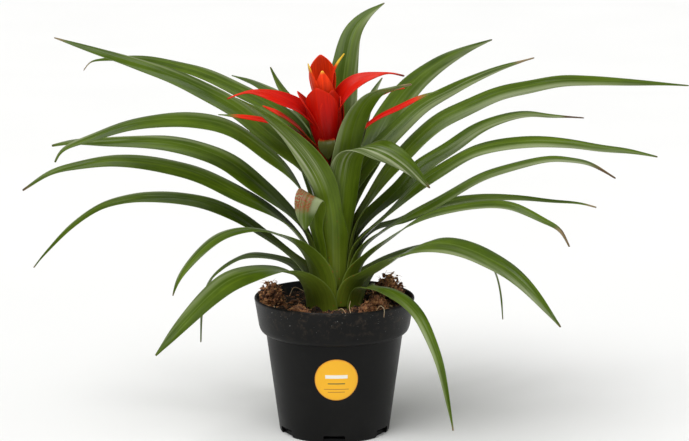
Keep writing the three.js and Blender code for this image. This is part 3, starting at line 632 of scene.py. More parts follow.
def bract_finish():
    material, tree, surface = new_finish(
        "bract", IOR=1.4, Specular_IOR_Level=0.18, Sheen_Weight=0.02, Sheen_Roughness=0.35
    )
    metres = attribute(tree, "bract_metres")
    across, along, _ = split(tree, attribute(tree, "bract_place"))
    changed, mottled, painted_light_and_shade = split(tree, attribute(tree, "bract_age_and_light"))
    tip_colour = attribute(tree, "bract_tip", "Color")

    veins = noise_of(tree, stretched(tree, metres, (1300, 14, 60)), detail=3)
    clouds = noise_of(tree, stretched(tree, metres, (110, 38, 90)), detail=3, roughness=0.6)
    # Painted light and shade: deep red low in the cup, brighter towards the end and where a bract has more
    # painted light.
    lit = plus(tree, times(tree, along, 0.75), painted_light_and_shade)
    colour = mixed(tree, band(tree, lit, 0.05, 0.55), BRACT_DEEP, BRACT_RED)
    colour = over(tree, colour, BRACT_BRIGHT, lit, 0.45, 1.2)
    colour = over(tree, colour, BRACT_DEEP, clouds, 0.45, 0.75, 0.0, 0.35)
    colour = over(tree, colour, BRACT_DEEP, veins, 0.38, 0.6, 0.3, 0.0)
    mottle = times(tree, band(tree, clouds, 0.36, 0.6), mottled)
    colour = mixed(tree, mottle, colour, BRACT_MOTTLE)
    colour = over(tree, colour, BRACT_FOOT, along, 0.0, 0.16, 0.85, 0.0)
    edge = math_of(tree, "ABSOLUTE", across)
    colour = over(tree, colour, BRACT_BRIGHT, edge, 0.90, 1.0, 0.0, 0.12)
    tip = plus(tree, plus(tree, along, changed), times(tree, clouds, 0.12))
    colour = over(tree, colour, tip_colour, tip, 1.0, 1.12)
    roughness = band(tree, clouds, 0.3, 0.8, 0.30, 0.46)
    finish_with(tree, surface, colour, roughness, bumped(tree, veins, 0.0002, 0.5))
    return material


bract_skin = bract_finish()
print("bract finish:", bract_skin.name)

# %% [markdown]
# ## Flower head
#
# A short core carries four kinds of bract: long ones that spread wide, a cup of broad ones that
# overlap, the inner ones that stand up out of the cup, and the tip of a single flower. All are blades
# with the same sheet as the leaves. They widen from their feet, and they are cupped round the core and
# flatter towards their ends. The head leans a little, so each bract is shaped upright and then leant
# with it.

# %% Bract places
# painted_light_and_shade: above nought a bract is painted brighter, below nought, as on the feet, painted
# darker as if shaded.
BRACTS = {
    "bract_right_large": dict(
        azimuth=4, half=17.5, point=2.8, turn=1.15, tip=TIP_DARK, changed=0.06, painted_light_and_shade=0.2,
        run=[(4, 10), (8, 30), (12, 47), (20.5, 59), (29, 64.5), (40, 67), (52.5, 67.5), (64, 64)],
    ),
    "bract_left_large": dict(
        azimuth=180, half=15, point=2.7, turn=1.15, tip=TIP_DARK, changed=0.02, painted_light_and_shade=0.15,
        run=[(4, 10), (9, 28), (20, 45.5), (32, 54), (44.5, 60), (57, 63), (67.5, 61.5), (75.5, 59)],
    ),
    "bract_left_mottled": dict(
        azimuth=197, half=7, tip=TIP_RED, changed=0.2, mottled=0.8,
        run=[(4, 4), (9.5, 14), (15.5, 21.5), (22, 30.5), (30, 39), (40, 47), (50, 53)],
    ),
    "bract_left_low": dict(
        azimuth=190, half=5, tip=TIP_GREEN, changed=0.14, painted_light_and_shade=0.15,
        run=[(4, 1), (8.5, 12), (18, 24), (36, 36), (60, 44), (84, 49)],
    ),
    "bract_right_low": dict(
        azimuth=358, half=5, tip=TIP_GREEN, changed=0.16, painted_light_and_shade=0.1,
        run=[(4, 1), (16, 15), (30, 27.5), (41, 34), (58, 40.5), (74.5, 47), (89, 50.5)],
    ),
    "bract_right_back": dict(
        azimuth=12, half=5, tip=TIP_RED, changed=0.1,
        run=[(4, 4), (13, 24), (27, 40), (41, 49.5), (54, 53.5), (65, 53.5)],
    ),
    "bract_back_right": dict(azimuth=85, half=6, run=[(4, 6), (8, 26), (14, 40), (19, 46)]),
    "bract_back_left": dict(
        azimuth=115, half=5.5, tip=TIP_GREEN, changed=0.12, run=[(4, 8), (10, 28), (19, 40), (28, 45)],
    ),
    "bract_front_foot": dict(
        azimuth=266, half=8.5, point=1.3, tip=TIP_OLIVE, changed=0.72, mottled=0.9,
        run=[(6, 21), (11, 21.5), (14, 17), (13, 6)],
    ),
    "foot_left": dict(azimuth=237, half=8, taper=5, painted_light_and_shade=-1, run=[(4, -9), (6.5, 0), (10, 10), (12, 18)]),
    "foot_right": dict(
        azimuth=310, half=8, taper=5, painted_light_and_shade=-1, run=[(4, -9), (6.5, 0), (10, 10), (12, 18)],
    ),
    "cup_front_left": dict(azimuth=252, half=12.5, taper=7, run=[(5, 8), (12, 28), (15.5, 46), (15.5, 63)]),
    "cup_front_right": dict(
        azimuth=305, half=11, taper=6, run=[(5, 8), (10.5, 28), (12.5, 44), (12.5, 60)],
    ),
    "cup_left": dict(azimuth=195, half=11, taper=3, run=[(5, 12), (11, 32), (15, 48), (21, 61)]),
    "cup_right": dict(azimuth=345, half=8, run=[(5, 12), (10, 30), (12, 44), (13, 54)]),
    "cup_back_left": dict(azimuth=110, half=10, run=[(5, 12), (11, 32), (14, 48), (15, 60)]),
    "cup_back_right": dict(azimuth=35, half=8, run=[(5, 12), (11, 32), (13, 46), (15, 57)]),
    "inner_front": dict(
        azimuth=275, half=10, tip=TIP_YELLOW, changed=0.04, painted_light_and_shade=0.55,
        run=[(4, 30), (7, 52), (8, 66), (5, 75)],
    ),
    "inner_left": dict(
        azimuth=218, half=8, tip=TIP_YELLOW, changed=0.12, painted_light_and_shade=0.55,
        run=[(4, 36), (8, 56), (10.5, 70), (12.5, 82)],
    ),
    "inner_back": dict(azimuth=88, half=9.5, taper=6, painted_light_and_shade=0.9, run=[(4, 36), (6, 58), (5, 74), (1, 87)]),
    "flower_tip": dict(
        azimuth=8, half=2.2, tip=TIP_YELLOW, changed=0.2, painted_light_and_shade=0.4,
        run=[(4, 40), (6, 58), (9, 73), (13.5, 80), (19, 86)],
    ),
}

# %% Flower head
BLOOM_BASE = Vector((-3, 0, 213)) * MM
BLOOM_LEAN = -0.09
BRACT_THICKNESS = 0.9 * MM
BRACT_TURN = 0.5
BRACT_TAPER = 2.2
BRACT_TIP = 0.5 * MM
FOOT_SHARE = 0.55  # of the half width, at a bract's foot
WIDENING = 1.2
BRACT_CUP = 11 * MM
BRACT_CUP_REACH = 4 * MM
BRACT_ROW = 3.2 * MM
BRACT_CELLS = 12
CORE_PROFILE = [(0, -13), (4.6, -13), (7, 4), (8, 20), (8.5, 36), (6, 52), (0, 62)]
CORE_STEPS = 32

lean_head = Matrix.Translation(BLOOM_BASE) @ Matrix.Rotation(BLOOM_LEAN, 4, "Y")


def bract_shape(bract):
    half_width = bract["half"] * MM
    turn = bract.get("turn", BRACT_TURN) * math.cos(math.radians(bract["azimuth"]))
    taper, point = bract.get("taper", BRACT_TAPER), bract.get("point", 1)

    def shape(t, centre, _):
        half = max(half_width * (FOOT_SHARE + WIDENING * t) * (1 - t**taper) ** point, BRACT_TIP)
        curl = half / (min(from_axis(centre) + BRACT_CUP_REACH, BRACT_CUP) * (1 + t))
        return half, curl, turn * smooth(t)

    return shape


def make_bract(name, bract, own):
    azimuth = bract["azimuth"]
    line = curve_through([polar(radius * MM, azimuth, height * MM) for radius, height in bract["run"]])
    rows = round(line_length(line) / BRACT_ROW)
    age_and_light = [bract.get(key, 0) for key in ("changed", "mottled", "painted_light_and_shade")]
    extra = {"age_and_light": age_and_light, "tip": bract.get("tip", TIP_RED)}
    bm = blade(line, rows, BRACT_CELLS, bract_shape(bract), own, "bract", extra)
    bmesh.ops.transform(bm, matrix=lean_head, verts=bm.verts)
    piece = new_piece(name, bm, [bract_skin])
    add_thickness(piece, BRACT_THICKNESS)
    add_subdivision(piece)
    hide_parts("bloom")


def spun(profile, steps):
    """A closed surface spun about the part's axis from (distance, height) places in millimetres."""
    bm = bmesh.new()
    verts = [bm.verts.new((radius * MM, 0, height * MM)) for radius, height in profile]
    edges = [bm.edges.new(pair) for pair in zip(verts, verts[1:])]
    bmesh.ops.spin(
        bm, geom=[*verts, *edges], axis=(0, 0, 1), cent=(0, 0, 0), angle=math.tau, steps=steps,
        use_merge=True,
    )
    bmesh.ops.remove_doubles(bm, verts=bm.verts, dist=0.01 * MM)
    bmesh.ops.recalc_face_normals(bm, faces=bm.faces)
    return bm


def make_core():
    bm = spun(CORE_PROFILE, CORE_STEPS)
    bmesh.ops.transform(bm, matrix=lean_head, verts=bm.verts)
    place_map = bm.verts.layers.float_vector.new("bract_place")
    metre_map = bm.verts.layers.float_vector.new("bract_metres")
    for vert in bm.verts:
        vert[place_map] = Vector((0.5, 0.1, 0.5))
        vert[metre_map] = vert.co
    core = new_piece("flower_core", bm, [bract_skin])
    add_subdivision(core)
    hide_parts("bloom")


make_core()
for number, (bract_name, bract_values) in enumerate(BRACTS.items()):
    make_bract(bract_name, bract_values, number / len(BRACTS))
print("bracts:", len(BRACTS))

# %% [markdown]
# ## Stem
#
# The stem is hidden by the leaf bases, and its solid is shown as it is. It is a pale green-brown stalk,
# and it only shows where the flower head rises from the leaves.

# %% Stem
STEM_GREEN = (0.110, 0.120, 0.030)
STEM_BROWN = (0.070, 0.030, 0.012)


def stem_finish():
    material, tree, surface = new_finish("stem", IOR=1.42)
    place = object_place(tree)
    fibres = noise_of(tree, stretched(tree, place, (700, 700, 40)), detail=3)
    colour = mixed(tree, band(tree, fibres, 0.35, 0.65), STEM_GREEN, STEM_BROWN)
    roughness = band(tree, fibres, 0.3, 0.7, 0.45, 0.65)
    finish_with(tree, surface, colour, roughness, bumped(tree, fibres, 0.0003))
    return material


stem_skin = stem_finish()
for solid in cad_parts.values():
    solid.data.materials.clear()
    solid.data.materials.append(stem_skin)
print("stem finish:", stem_skin.name)

# %% [markdown]
# ## Pot
#
# The pot is one thin moulding of black plastic: a straight tapered wall, a wide collar with a rolled
# rim, a foot ring, and drain slots where the wall meets the floor. It is a body of revolution, so its
# outline is spun. The slots are cut through it afterwards with six small blocks.

# %% Pot finish
PLASTIC = (0.0034, 0.0034, 0.0033)
PLASTIC_WORN = (0.0085, 0.0084, 0.0080)
SOIL_DUST = (0.150, 0.105, 0.070)
WHITE_DUST = (0.520, 0.520, 0.500)


def pot_finish():
    material, tree, surface = new_finish("pot_plastic", IOR=1.4, Specular_IOR_Level=0.2)
    place = object_place(tree)
    _, _, height = split(tree, place)
    grain = noise_of(tree, place, scale=2600, detail=2)
    cloud = noise_of(tree, place, scale=38, detail=4, roughness=0.6)
    scuffs = noise_of(tree, stretched(tree, place, (60, 60, 900)), detail=3, roughness=0.7)
    dust = noise_of(tree, place, scale=190, detail=5, roughness=0.72)
    grit = noise_of(tree, place, scale=900, detail=1)
    colour = mixed(tree, band(tree, cloud, 0.4, 0.75, 0.0, 0.6), PLASTIC, PLASTIC_WORN)
    colour = over(tree, colour, PLASTIC_WORN, scuffs, 0.66, 0.74, 0.0, 0.25)
    near_rim = band(tree, height, 0.078, 0.107)
    dusted = times(tree, band(tree, dust, 0.5, 0.72, 0.0, 0.3), near_rim)
    colour = mixed(tree, dusted, colour, SOIL_DUST)
    gritty = times(tree, band(tree, grit, 0.76, 0.79, 0.0, 0.9), near_rim)
    colour = mixed(tree, gritty, colour, WHITE_DUST)
    roughness = plus(tree, band(tree, cloud, 0.3, 0.75, 0.36, 0.48), times(tree, dusted, 0.4))
    finish_with(tree, surface, colour, roughness, bumped(tree, grain, 0.0001, 0.5))
    return material


pot_skin = pot_finish()
print("pot finish:", pot_skin.name)

# %% Pot
POT_OUTSIDE = [
    (0, 0), (15, 0), (16, 1.2), (36, 1.2), (37, 0), (42.5, 0), (43.3, 0.2), (43.8, 0.8), (44, 1.8),
    (46.6, 21.4), (51.8, 60.4), (54.4, 80), (56.0, 80.4), (57.4, 81.2), (58.5, 82.3), (59.2, 83.6),
    (60, 86), (63.1, 105.4), (63.4, 106.4), (63.5, 107.1), (63.4, 107.8), (63.0, 108.3), (62.65, 108.5),
]
POT_INSIDE = [
    (62.3, 108.45), (61.9, 108.2), (61.6, 107.7), (58.4, 87), (57.6, 84), (52.8, 80), (42.4, 2.8), (0, 2.8),
]
POT_STEPS = 96
CREASE_ANGLE = math.radians(32)
DRAIN_SLOTS = 6
DRAIN_START = 270
DRAIN_SIZE = Vector((17, 7, 12)) * MM
DRAIN_RADIUS = 44 * MM
DRAIN_ROUND = 1.2 * MM


def make_drain_cutter():
    bm = bmesh.new()
    for number in range(DRAIN_SLOTS):
        azimuth = DRAIN_START + number * 360 / DRAIN_SLOTS
        block = bmesh.ops.create_cube(bm, size=1)
        place = Matrix.Translation(polar(DRAIN_RADIUS, azimuth, 0))
        turn = Matrix.Rotation(math.radians(azimuth - 90), 4, "Z")
        size = Matrix.Diagonal((*DRAIN_SIZE, 1))
        bmesh.ops.transform(bm, matrix=place @ turn @ size, verts=block["verts"])
    upright = [edge for edge in bm.edges if abs(edge.verts[0].co.z - edge.verts[1].co.z) < 0.1 * MM]
    bmesh.ops.bevel(
        bm, geom=upright, offset=DRAIN_ROUND, segments=3, profile=0.5, affect="EDGES", material=-1
    )
    return new_object("drain_cutter", new_mesh("drain_cutter", bm))


def make_pot():
    pot = new_piece("pot_shell", spun([*POT_OUTSIDE, *POT_INSIDE], POT_STEPS), [pot_skin])
    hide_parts("pot")
    cutter = make_drain_cutter()
    cut = pot.modifiers.new("drain slots", "BOOLEAN")
    cut.operation = "DIFFERENCE"
    cut.solver = "EXACT"
    cut.object = cutter
    finished = bpy.data.meshes.new_from_object(pot.evaluated_get(bpy.context.evaluated_depsgraph_get()))
    pot.modifiers.clear()
    pot.data = finished
    bpy.data.objects.remove(cutter)
    pot.data.set_sharp_from_angle(angle=CREASE_ANGLE)
    print("pot faces:", len(pot.data.polygons))


make_pot()

# %% [markdown]
# ## Sticker
#
# A thin round paper label is stuck low on the front of the pot, and it follows the round wall. It is
# made flat, with a rounded rim, and each point is then laid on the wall. Its print is plain: four bars
# on a yellow ground.

# %% Sticker
STICKER_RADIUS = 17  # millimetres
STICKER_HEIGHT = 53 * MM
STICKER_AZIMUTH = 272
STICKER_STEPS = 72
STICKER_PROFILE = [
    (0, -0.2), (5, -0.2), (10, -0.2), (14, -0.2), (16.8, -0.2), (17, -0.05), (17, 0.1), (16.9, 0.2),
    (16.6, 0.25), *[(radius, 0.25) for radius in range(14, -1, -2)],
]
WALL_FOOT = (44, 1.8)
WALL_TOP = (54.4, 80)
STICKER_YELLOW = (0.950, 0.480, 0.003)
STICKER_WHITE = (0.900, 0.880, 0.780)
STICKER_GREEN = (0.060, 0.110, 0.020)
STICKER_BROWN = (0.330, 0.130, 0.010)
STICKER_ORANGE = (0.800, 0.330, 0.010)
STICKER_BARS = [
    (0.06, 0.25, 0.52, STICKER_WHITE),
    (-0.22, -0.15, 0.40, STICKER_GREEN),
    (-0.48, -0.43, 0.58, STICKER_BROWN),
    (-0.62, -0.57, 0.40, STICKER_BROWN),
]  # lowest and highest place, half width and colour of each printed bar, as shares of the radius
BAR_EDGE = 0.02  # softness of its edges


def sticker_finish():
    material, tree, surface = new_finish("sticker_paper", IOR=1.5)
    place = attribute(tree, "sticker_place")
    across, up, reach = split(tree, place)
    off_middle = math_of(tree, "ABSOLUTE", across)
    colour = mixed(tree, band(tree, reach, 0.93, 0.97), STICKER_YELLOW, STICKER_ORANGE)
    for low, high, wide, print_colour in STICKER_BARS:
        rows = times(tree, band(tree, up, low, low + BAR_EDGE), band(tree, up, high, high - BAR_EDGE))
        bar = times(tree, rows, band(tree, off_middle, wide, wide - BAR_EDGE))
        colour = mixed(tree, bar, colour, print_colour)
    paper = noise_of(tree, place, scale=60, detail=4)
    colour = over(tree, colour, STICKER_ORANGE, paper, 0.4, 0.8, 0.0, 0.12)
    roughness = band(tree, paper, 0.3, 0.7, 0.30, 0.42)
    finish_with(tree, surface, colour, roughness, bumped(tree, paper, 0.0001, 0.4))
    return material


def make_sticker():
    bm = spun(STICKER_PROFILE, STICKER_STEPS)
    place_map = bm.verts.layers.float_vector.new("sticker_place")
    slope = math.atan2(WALL_TOP[0] - WALL_FOOT[0], WALL_TOP[1] - WALL_FOOT[1])
    for vert in bm.verts:
        across, up, off = vert.co
        unit = STICKER_RADIUS * MM
        vert[place_map] = Vector((across / unit, up / unit, math.hypot(across, up) / unit))
        height = STICKER_HEIGHT + up * math.cos(slope)
        wall = (WALL_FOOT[0] + (height / MM - WALL_FOOT[1]) * math.tan(slope)) * MM
        azimuth = STICKER_AZIMUTH + math.degrees(across / wall)
        vert.co = polar(wall + off * math.cos(slope), azimuth, height - off * math.sin(slope))
    bmesh.ops.recalc_face_normals(bm, faces=bm.faces)
    sticker = new_piece("sticker_disc", bm, [sticker_finish()])
    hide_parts("sticker")


make_sticker()
print("sticker radius:", STICKER_RADIUS)

# %% [markdown]
# ## Soil
#
# The pot is filled with dark peat that has crumbs, bark chips and reddish coconut fibre in it. The
# ground is a spun disc whose points rise and fall with the same waves as the solid's top, and with
# finer lumps. One finish serves the ground, one the crumbs and chips, and one each the fibres and the
# roots.

# %% Soil finishes
PEAT = (0.016, 0.010, 0.007)
PEAT_BROWN = (0.060, 0.030, 0.016)
COIR = (0.330, 0.130, 0.048)
COIR_LIGHT = (0.600, 0.310, 0.130)
COIR_DARK = (0.095, 0.035, 0.014)
BARK_PALE = (0.480, 0.360, 0.220)
ROOT_PALE = (0.560, 0.460, 0.300)


def soil_finish():
    material, tree, surface = new_finish("peat", IOR=1.4)
    place = object_place(tree)
    lumps = noise_of(tree, place, scale=260, detail=6, roughness=0.7)
    patches = noise_of(tree, place, scale=55, detail=3)
    colour = mixed(tree, band(tree, lumps, 0.42, 0.68), PEAT, PEAT_BROWN)
    warm = times(tree, band(tree, lumps, 0.5, 0.7), band(tree, patches, 0.45, 0.6))
    colour = mixed(tree, warm, colour, COIR)
    finish_with(tree, surface, colour, band(tree, lumps, 0.4, 0.7, 0.95, 0.8), bumped(tree, lumps, 0.0015))
    return material


def crumb_finish():
    material, tree, surface = new_finish("crumbs", IOR=1.4, Sheen_Weight=0.1)
    place = object_place(tree)
    own, red, _ = split(tree, attribute(tree, "crumb_kind"))
    grain = noise_of(tree, place, scale=1400, detail=4, roughness=0.7)
    shade = plus(tree, own, times(tree, grain, 0.35))
    peat = mixed(tree, band(tree, shade, 0.3, 1.2), PEAT, PEAT_BROWN)
    coir = mixed(tree, band(tree, shade, 0.25, 0.75), COIR_DARK, COIR)
    coir = mixed(tree, band(tree, shade, 0.7, 1.25), coir, COIR_LIGHT)
    colour = mixed(tree, red, peat, coir)
    colour = over(tree, colour, BARK_PALE, red, 1.5, 1.9)
    finish_with(tree, surface, colour, band(tree, grain, 0.3, 0.7, 0.75, 0.95), bumped(tree, grain, 0.0008))
    return material


def fibre_finish(name, dark, light, size):
    material, tree, surface = new_finish(name, IOR=1.45, Sheen_Weight=0.15)
    place = object_place(tree)
    tint = noise_of(tree, place, scale=size, detail=3, roughness=0.6)
    colour = mixed(tree, band(tree, tint, 0.36, 0.64), dark, light)
    finish_with(tree, surface, colour, band(tree, tint, 0.3, 0.7, 0.7, 0.55))
    return material


peat_skin = soil_finish()
crumb_skin = crumb_finish()
fibre_skin = fibre_finish("coir_fibre", COIR, COIR_LIGHT, 260)
root_skin = fibre_finish("root", COIR_LIGHT, ROOT_PALE, 120)
print("soil finishes:", peat_skin.name, crumb_skin.name, fibre_skin.name, root_skin.name)

# %% Soil
SOIL_HEIGHT = 100
SOIL_LUMP = 2.2
SOIL_RADIUS = 60
SOIL_FLOOR = [(58.3, 89), (40, 89), (20, 89), (0, 89)]
SOIL_RINGS = 54
SOIL_STEPS = 150
CROWN_DIP = 2.5
CROWN_EDGE = 24
CROWN_EASE = 4
FINE_LUMP = 0.9
FINE_LENGTH = 5
RIM_DIP = 1.5
RIM_DIP_START = 48
RIM_DIP_WIDTH = 12


def soil_top(x, y):
    """Height of the soil, all in millimetres, the same as the solid's."""
    waves = (
        math.sin(0.21 * x + 1.3) * math.cos(0.17 * y - 0.4)
        + 0.6 * math.sin(0.43 * x - 0.37 * y)
        + 0.5 * math.cos(0.61 * y + 0.23 * x + 2)
    )
    near_wall = smooth((math.hypot(x, y) - RIM_DIP_START) / RIM_DIP_WIDTH)
    return SOIL_HEIGHT + SOIL_LUMP * waves - RIM_DIP * near_wall


def soil_place(radius, azimuth, above=0.0):
    spot = polar(radius, azimuth, 0)
    return Vector((spot.x, spot.y, soil_top(spot.x, spot.y) + above)) * MM


def make_soil():
    rings = [(SOIL_RADIUS * k / SOIL_RINGS, SOIL_HEIGHT) for k in range(SOIL_RINGS + 1)]
    bm = spun([*rings, *SOIL_FLOOR], SOIL_STEPS)
    for vert in bm.verts:
        if vert.co.z > (SOIL_HEIGHT - 1) * MM:
            x, y = vert.co.x / MM, vert.co.y / MM
            lump = noise.turbulence(Vector((x, y, 0)) / FINE_LENGTH, 4, False)
            dip = CROWN_DIP * smooth((CROWN_EDGE - math.hypot(x, y)) / CROWN_EASE)
            vert.co.z = (soil_top(x, y) + FINE_LUMP * lump - dip) * MM
    soil = new_piece("soil_ground", bm, [peat_skin])
    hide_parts("soil")


make_soil()
print("soil rings:", SOIL_RINGS)

# %% [markdown]
# ## Crumbs and chips
#
# Hundreds of small crumbs and some chips lie on the ground. They are built into one mesh, because each
# of them is a simple lump: a low icosphere, pushed about by noise and turned at random. A seed of its
# own keeps the scatter the same each time.


# %% Crumbs and chips
def add_lump(bm, kind_map, chance, place, size, kind, rounds=1, stretch=(1.0, 1.0, 1.0)):
    """An uneven lump of a crumb's size: a low icosphere, pushed about and turned."""
    lump = bmesh.ops.create_icosphere(bm, subdivisions=rounds, radius=1)
    own = chance.random()
    axis = Vector((chance.random() - 0.5, chance.random() - 0.5, 1)).normalized()
    turn = Quaternion(axis, chance.random() * math.tau)
    for vert in lump["verts"]:
        rough = 1 + 0.55 * noise.noise(vert.co * 1.3 + Vector((own * 90, 0, 0)))
        shaped = Vector((vert.co.x * stretch[0], vert.co.y * stretch[1], vert.co.z * stretch[2]))
        vert.co = place + turn @ (shaped * rough * size)
        vert[kind_map] = Vector((own, kind, 0))


CRUMBS = 1500
CHIPS = 26
CRUMB_SEED = 7
PEAT_KIND, COIR_KIND, BARK_KIND = 0, 1, 2
COIR_SHARE = 0.38  # of the crumbs
BARK_SHARE = 0.2  # of the chips
PALE_CHIP_PLACE = (41, 222, 2.2)
PALE_CHIP_SIZE = 4.2 * MM
SOIL_INNER = 20
SOIL_OUTER = 58


def make_crumbs():
    chance = random.Random(CRUMB_SEED)
    bm = bmesh.new()
    kind_map = bm.verts.layers.float_vector.new("crumb_kind")
    for _ in range(CRUMBS):
        radius = math.sqrt(mix(SOIL_INNER**2, SOIL_OUTER**2, chance.random()))
        azimuth = chance.random() * 360
        size = mix(0.35, 1.3, chance.random() ** 2.2) * MM
        kind = COIR_KIND if chance.random() < COIR_SHARE else PEAT_KIND
        shape = (1, mix(0.6, 1, chance.random()), mix(0.5, 0.9, chance.random()))
        add_lump(bm, kind_map, chance, soil_place(radius, azimuth, 0.3), size, kind, 1, shape)
    for _ in range(CHIPS):
        radius = mix(27, 55, chance.random())
        shape = (1, mix(0.4, 0.7, chance.random()), 0.3)
        size = mix(1.8, 3.8, chance.random()) * MM
        kind = BARK_KIND if chance.random() < BARK_SHARE else COIR_KIND
        add_lump(bm, kind_map, chance, soil_place(radius, chance.random() * 360, 0.9), size, kind, 2, shape)
    pale_chip = soil_place(*PALE_CHIP_PLACE)
    add_lump(bm, kind_map, chance, pale_chip, PALE_CHIP_SIZE, BARK_KIND, 2, (1, 0.55, 0.3))
    crumbs = new_piece("soil_crumbs", bm, [crumb_skin])
    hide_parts("soil")
    print("crumbs:", CRUMBS + CHIPS)


make_crumbs()

# %% [markdown]
# ## Coconut fibre
#
# Four reddish clumps of coconut fibre lie by the rim. Each is a heap of crumbs with thin curly fibres
# that stick out of it. A fibre is a curve with a round section, and it gets thinner to its ends. All
# fibres of a clump are one curve object, made into a mesh, so that they stay light.

# %% Fibres
def make_strands(name, lines, thickness, material, sides=0):
    """Thin round strands along lines of places, thinner to both ends, as one mesh with closed ends."""
    data = bpy.data.curves.new(name, "CURVE")
    data.dimensions = "3D"
    data.bevel_depth = thickness
    data.bevel_resolution = sides
    data.use_fill_caps = True
    for line in lines:
        spline = data.splines.new("POLY")
        spline.points.add(len(line) - 1)
        for k, (point, place) in enumerate(zip(spline.points, line)):
            point.co = (*place, 1)
            point.radius = 0.35 + 0.65 * math.sin(math.pi * (0.08 + 0.84 * k / (len(line) - 1)))
    source = new_object(name, data)
    mesh = bpy.data.meshes.new_from_object(source.evaluated_get(bpy.context.evaluated_depsgraph_get()))
    bpy.data.objects.remove(source)
    bm = bmesh.new()
    bm.from_mesh(mesh)
    bpy.data.meshes.remove(mesh)
    bmesh.ops.recalc_face_normals(bm, faces=bm.faces)
    return new_piece(name, bm, [material])


# azimuth, distance from the axis, spread and height of each
TUFTS = {
    "coir_tuft_left": (184, 50, 12, 26),
    "coir_tuft_back_right": (24, 48, 16, 26),
    "coir_tuft_front_right": (314, 46, 14, 16),
    "coir_tuft_front_left": (238, 50, 10, 10),
}
TUFT_LUMPS = 640
TUFT_CORE = 26
TUFT_FIBRES = 110
FIBRE_RADIUS = 0.13 * MM
FIBRE_PLACES = 7
POT_CLEAR = 58.5
TUFT_SEED = 20


def kept_in_pot(place):
    """The place, drawn in where it would cross the pot's wall."""
    reach = from_axis(place) / MM
    if reach < POT_CLEAR or place.z > 110 * MM:
        return place
    return Vector((place.x * POT_CLEAR / reach, place.y * POT_CLEAR / reach, place.z))


def heap_place(chance, middle, spread, height):
    """A random place on or in a low heap."""
    angle = chance.random() * math.tau
    reach = math.sqrt(chance.random())
    top = height * (1 - reach**3) * chance.random() ** 0.4
    spot = middle + Vector((math.cos(angle), math.sin(angle), 0)) * spread * reach
    spot.z = soil_top(spot.x, spot.y) + top * 0.8
    return kept_in_pot(spot * MM)


def any_way(chance, low, high):
    """A random vector, whose height is between low and high."""
    return Vector((chance.uniform(-1, 1), chance.uniform(-1, 1), chance.uniform(low, high)))


def make_tuft(name, azimuth, radius, spread, height, seed):
    chance = random.Random(seed)
    middle = polar(radius, azimuth, 0)
    bm = bmesh.new()
    kind_map = bm.verts.layers.float_vector.new("crumb_kind")
    for _ in range(TUFT_CORE):
        place = heap_place(chance, middle, spread * 0.6, height * 0.75)
        add_lump(bm, kind_map, chance, place, mix(2, 4, chance.random()) * MM, COIR_KIND, 2)
    for _ in range(TUFT_LUMPS):
        size = mix(0.5, 1.7, chance.random() ** 1.6) * MM
        shape = (1, mix(0.5, 0.9, chance.random()), mix(0.45, 0.9, chance.random()))
        place = heap_place(chance, middle, spread, height)
        add_lump(bm, kind_map, chance, place, size, COIR_KIND, 1, shape)
    clump = new_piece(name + "_clump", bm, [crumb_skin])
    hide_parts(name)
    lines = []
    for _ in range(TUFT_FIBRES):
        place = heap_place(chance, middle, spread * 0.9, height)
        heading = any_way(chance, -0.1, 0.9).normalized()
        bend = any_way(chance, -1, 0.2) * 0.5
        step = mix(0.5, 1.5, chance.random()) * MM
        line = []
        for _ in range(FIBRE_PLACES):
            line.append(place)
            heading = (heading + bend * chance.uniform(0.3, 1)).normalized()
            place = kept_in_pot(place + heading * step)
        lines.append(line)
    fibres = make_strands(name + "_fibres", lines, FIBRE_RADIUS, fibre_skin)
    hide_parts(name)


for number, (tuft_name, tuft_values) in enumerate(TUFTS.items()):
    make_tuft(tuft_name, *tuft_values, seed=TUFT_SEED + number)
print("tufts:", len(TUFTS))

# %% [markdown]
# ## Loose roots
#
# A few thin pale roots lie on the soil near the front, and one has curled over the rim. Each is a
# smooth curve through a few places, and the strands' own taper gives them their fine ends.

# %% Roots
ROOTS = [
    [(31, 272, 1.5), (34, 280, 3.5), (37, 287, 2), (35, 293, 1), (30, 293, 4), (28, 297, 9)],
    [(47, 296, 1), (53, 301, 3), (57.5, 304, 8.5), (60, 306, 11.5), (63.5, 307, 11.5), (65, 306, 7)],
    [(40, 255, 1), (46, 250, 2.5), (50, 243, 1.5), (53, 240, 3)],
    [(50, 200, 1), (53, 208, 4), (55, 216, 2), (52, 222, 1)],
    [(45, 30, 1), (51, 38, 4), (54, 46, 2), (50, 55, 1)],
    [(48, 140, 1), (53, 128, 3.5), (50, 118, 2), (44, 112, 1)],
]
ROOT_RADIUS = 0.32 * MM
FINE_ROOTS = 90
ROOT_SEED = 5


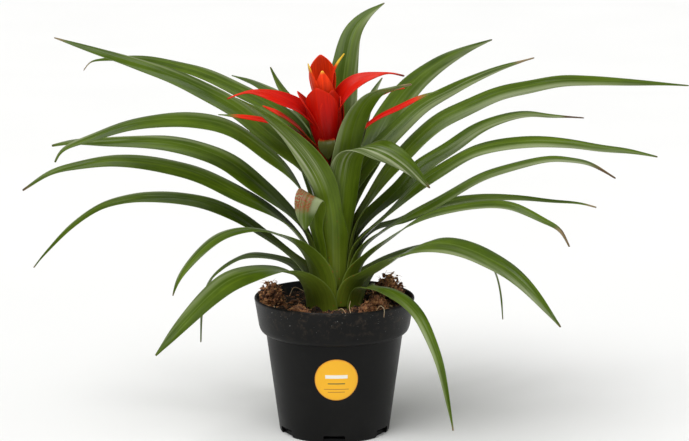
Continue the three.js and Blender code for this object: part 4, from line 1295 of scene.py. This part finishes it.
def make_roots():
    lines = []
    for root in ROOTS:
        lines.append(curve_through([soil_place(*place) for place in root], 8))
    roots = make_strands("loose_roots", lines, ROOT_RADIUS, root_skin, 1)
    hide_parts("soil")
    chance = random.Random(ROOT_SEED)
    fine = []
    for _ in range(FINE_ROOTS):
        radius, azimuth = mix(24, 56, chance.random()), chance.random() * 360
        line = []
        for _ in range(FIBRE_PLACES):
            line.append(soil_place(min(radius, 57.5), azimuth, mix(0.3, 1.6, chance.random())))
            radius += chance.uniform(-2, 2)
            azimuth += chance.uniform(-1, 2.6)
        fine.append(line)
    threads = make_strands("fine_roots", fine, FIBRE_RADIUS, fibre_skin)
    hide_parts("soil")
    print("roots:", len(ROOTS) + FINE_ROOTS)


make_roots()

# %% [markdown]
# ## Floor and light
#
# The plant stands on a plain pale floor that reaches far back, so that it fills the picture. A large
# soft light from the upper left front, a weaker one from the right, and a bright even sky give soft
# shadows and a long pale sheen on the leaves.

# %% Floor and light
FLOOR_SIZE = 30
FLOOR_COLOUR = (0.86, 0.86, 0.85)
SKY_COLOUR = (1.0, 1.0, 1.0)
SKY_STRENGTH = 0.27
LIGHTS = {
    "key": ((-0.7, -0.9, 2.0), 50, 3.0),
    "fill": ((1.4, -0.8, 1.2), 70, 0.6),
}


def make_floor():
    bm = bmesh.new()
    bmesh.ops.create_grid(bm, x_segments=4, y_segments=4, size=FLOOR_SIZE / 2)
    floor = new_object("floor", new_mesh("floor", bm))
    material, tree, surface = new_finish("floor_paper", Base_Color=(*FLOOR_COLOUR, 1))
    soft = noise_of(tree, object_place(tree), scale=3, detail=2)
    tree.links.new(band(tree, soft, 0.3, 0.7, 0.75, 0.85), surface.inputs["Roughness"])
    floor.data.materials.append(material)


def make_light(name, place, width, strength):
    data = bpy.data.lights.new(name, "SUN")
    data.angle = math.radians(width)
    data.energy = strength
    light = new_object(name, data)
    light.location = place
    light.rotation_euler = Vector(place).to_track_quat("Z", "Y").to_euler()


def make_sky():
    world = bpy.data.worlds.new("sky")
    world.use_nodes = True
    background = world.node_tree.nodes["Background"]
    background.inputs["Color"].default_value = (*SKY_COLOUR, 1)
    background.inputs["Strength"].default_value = SKY_STRENGTH
    bpy.context.scene.world = world


make_floor()
for light_name, light_values in LIGHTS.items():
    make_light(light_name, *light_values)
make_sky()
bpy.context.scene.view_settings.view_transform = "Standard"
print("lights:", ", ".join(LIGHTS))
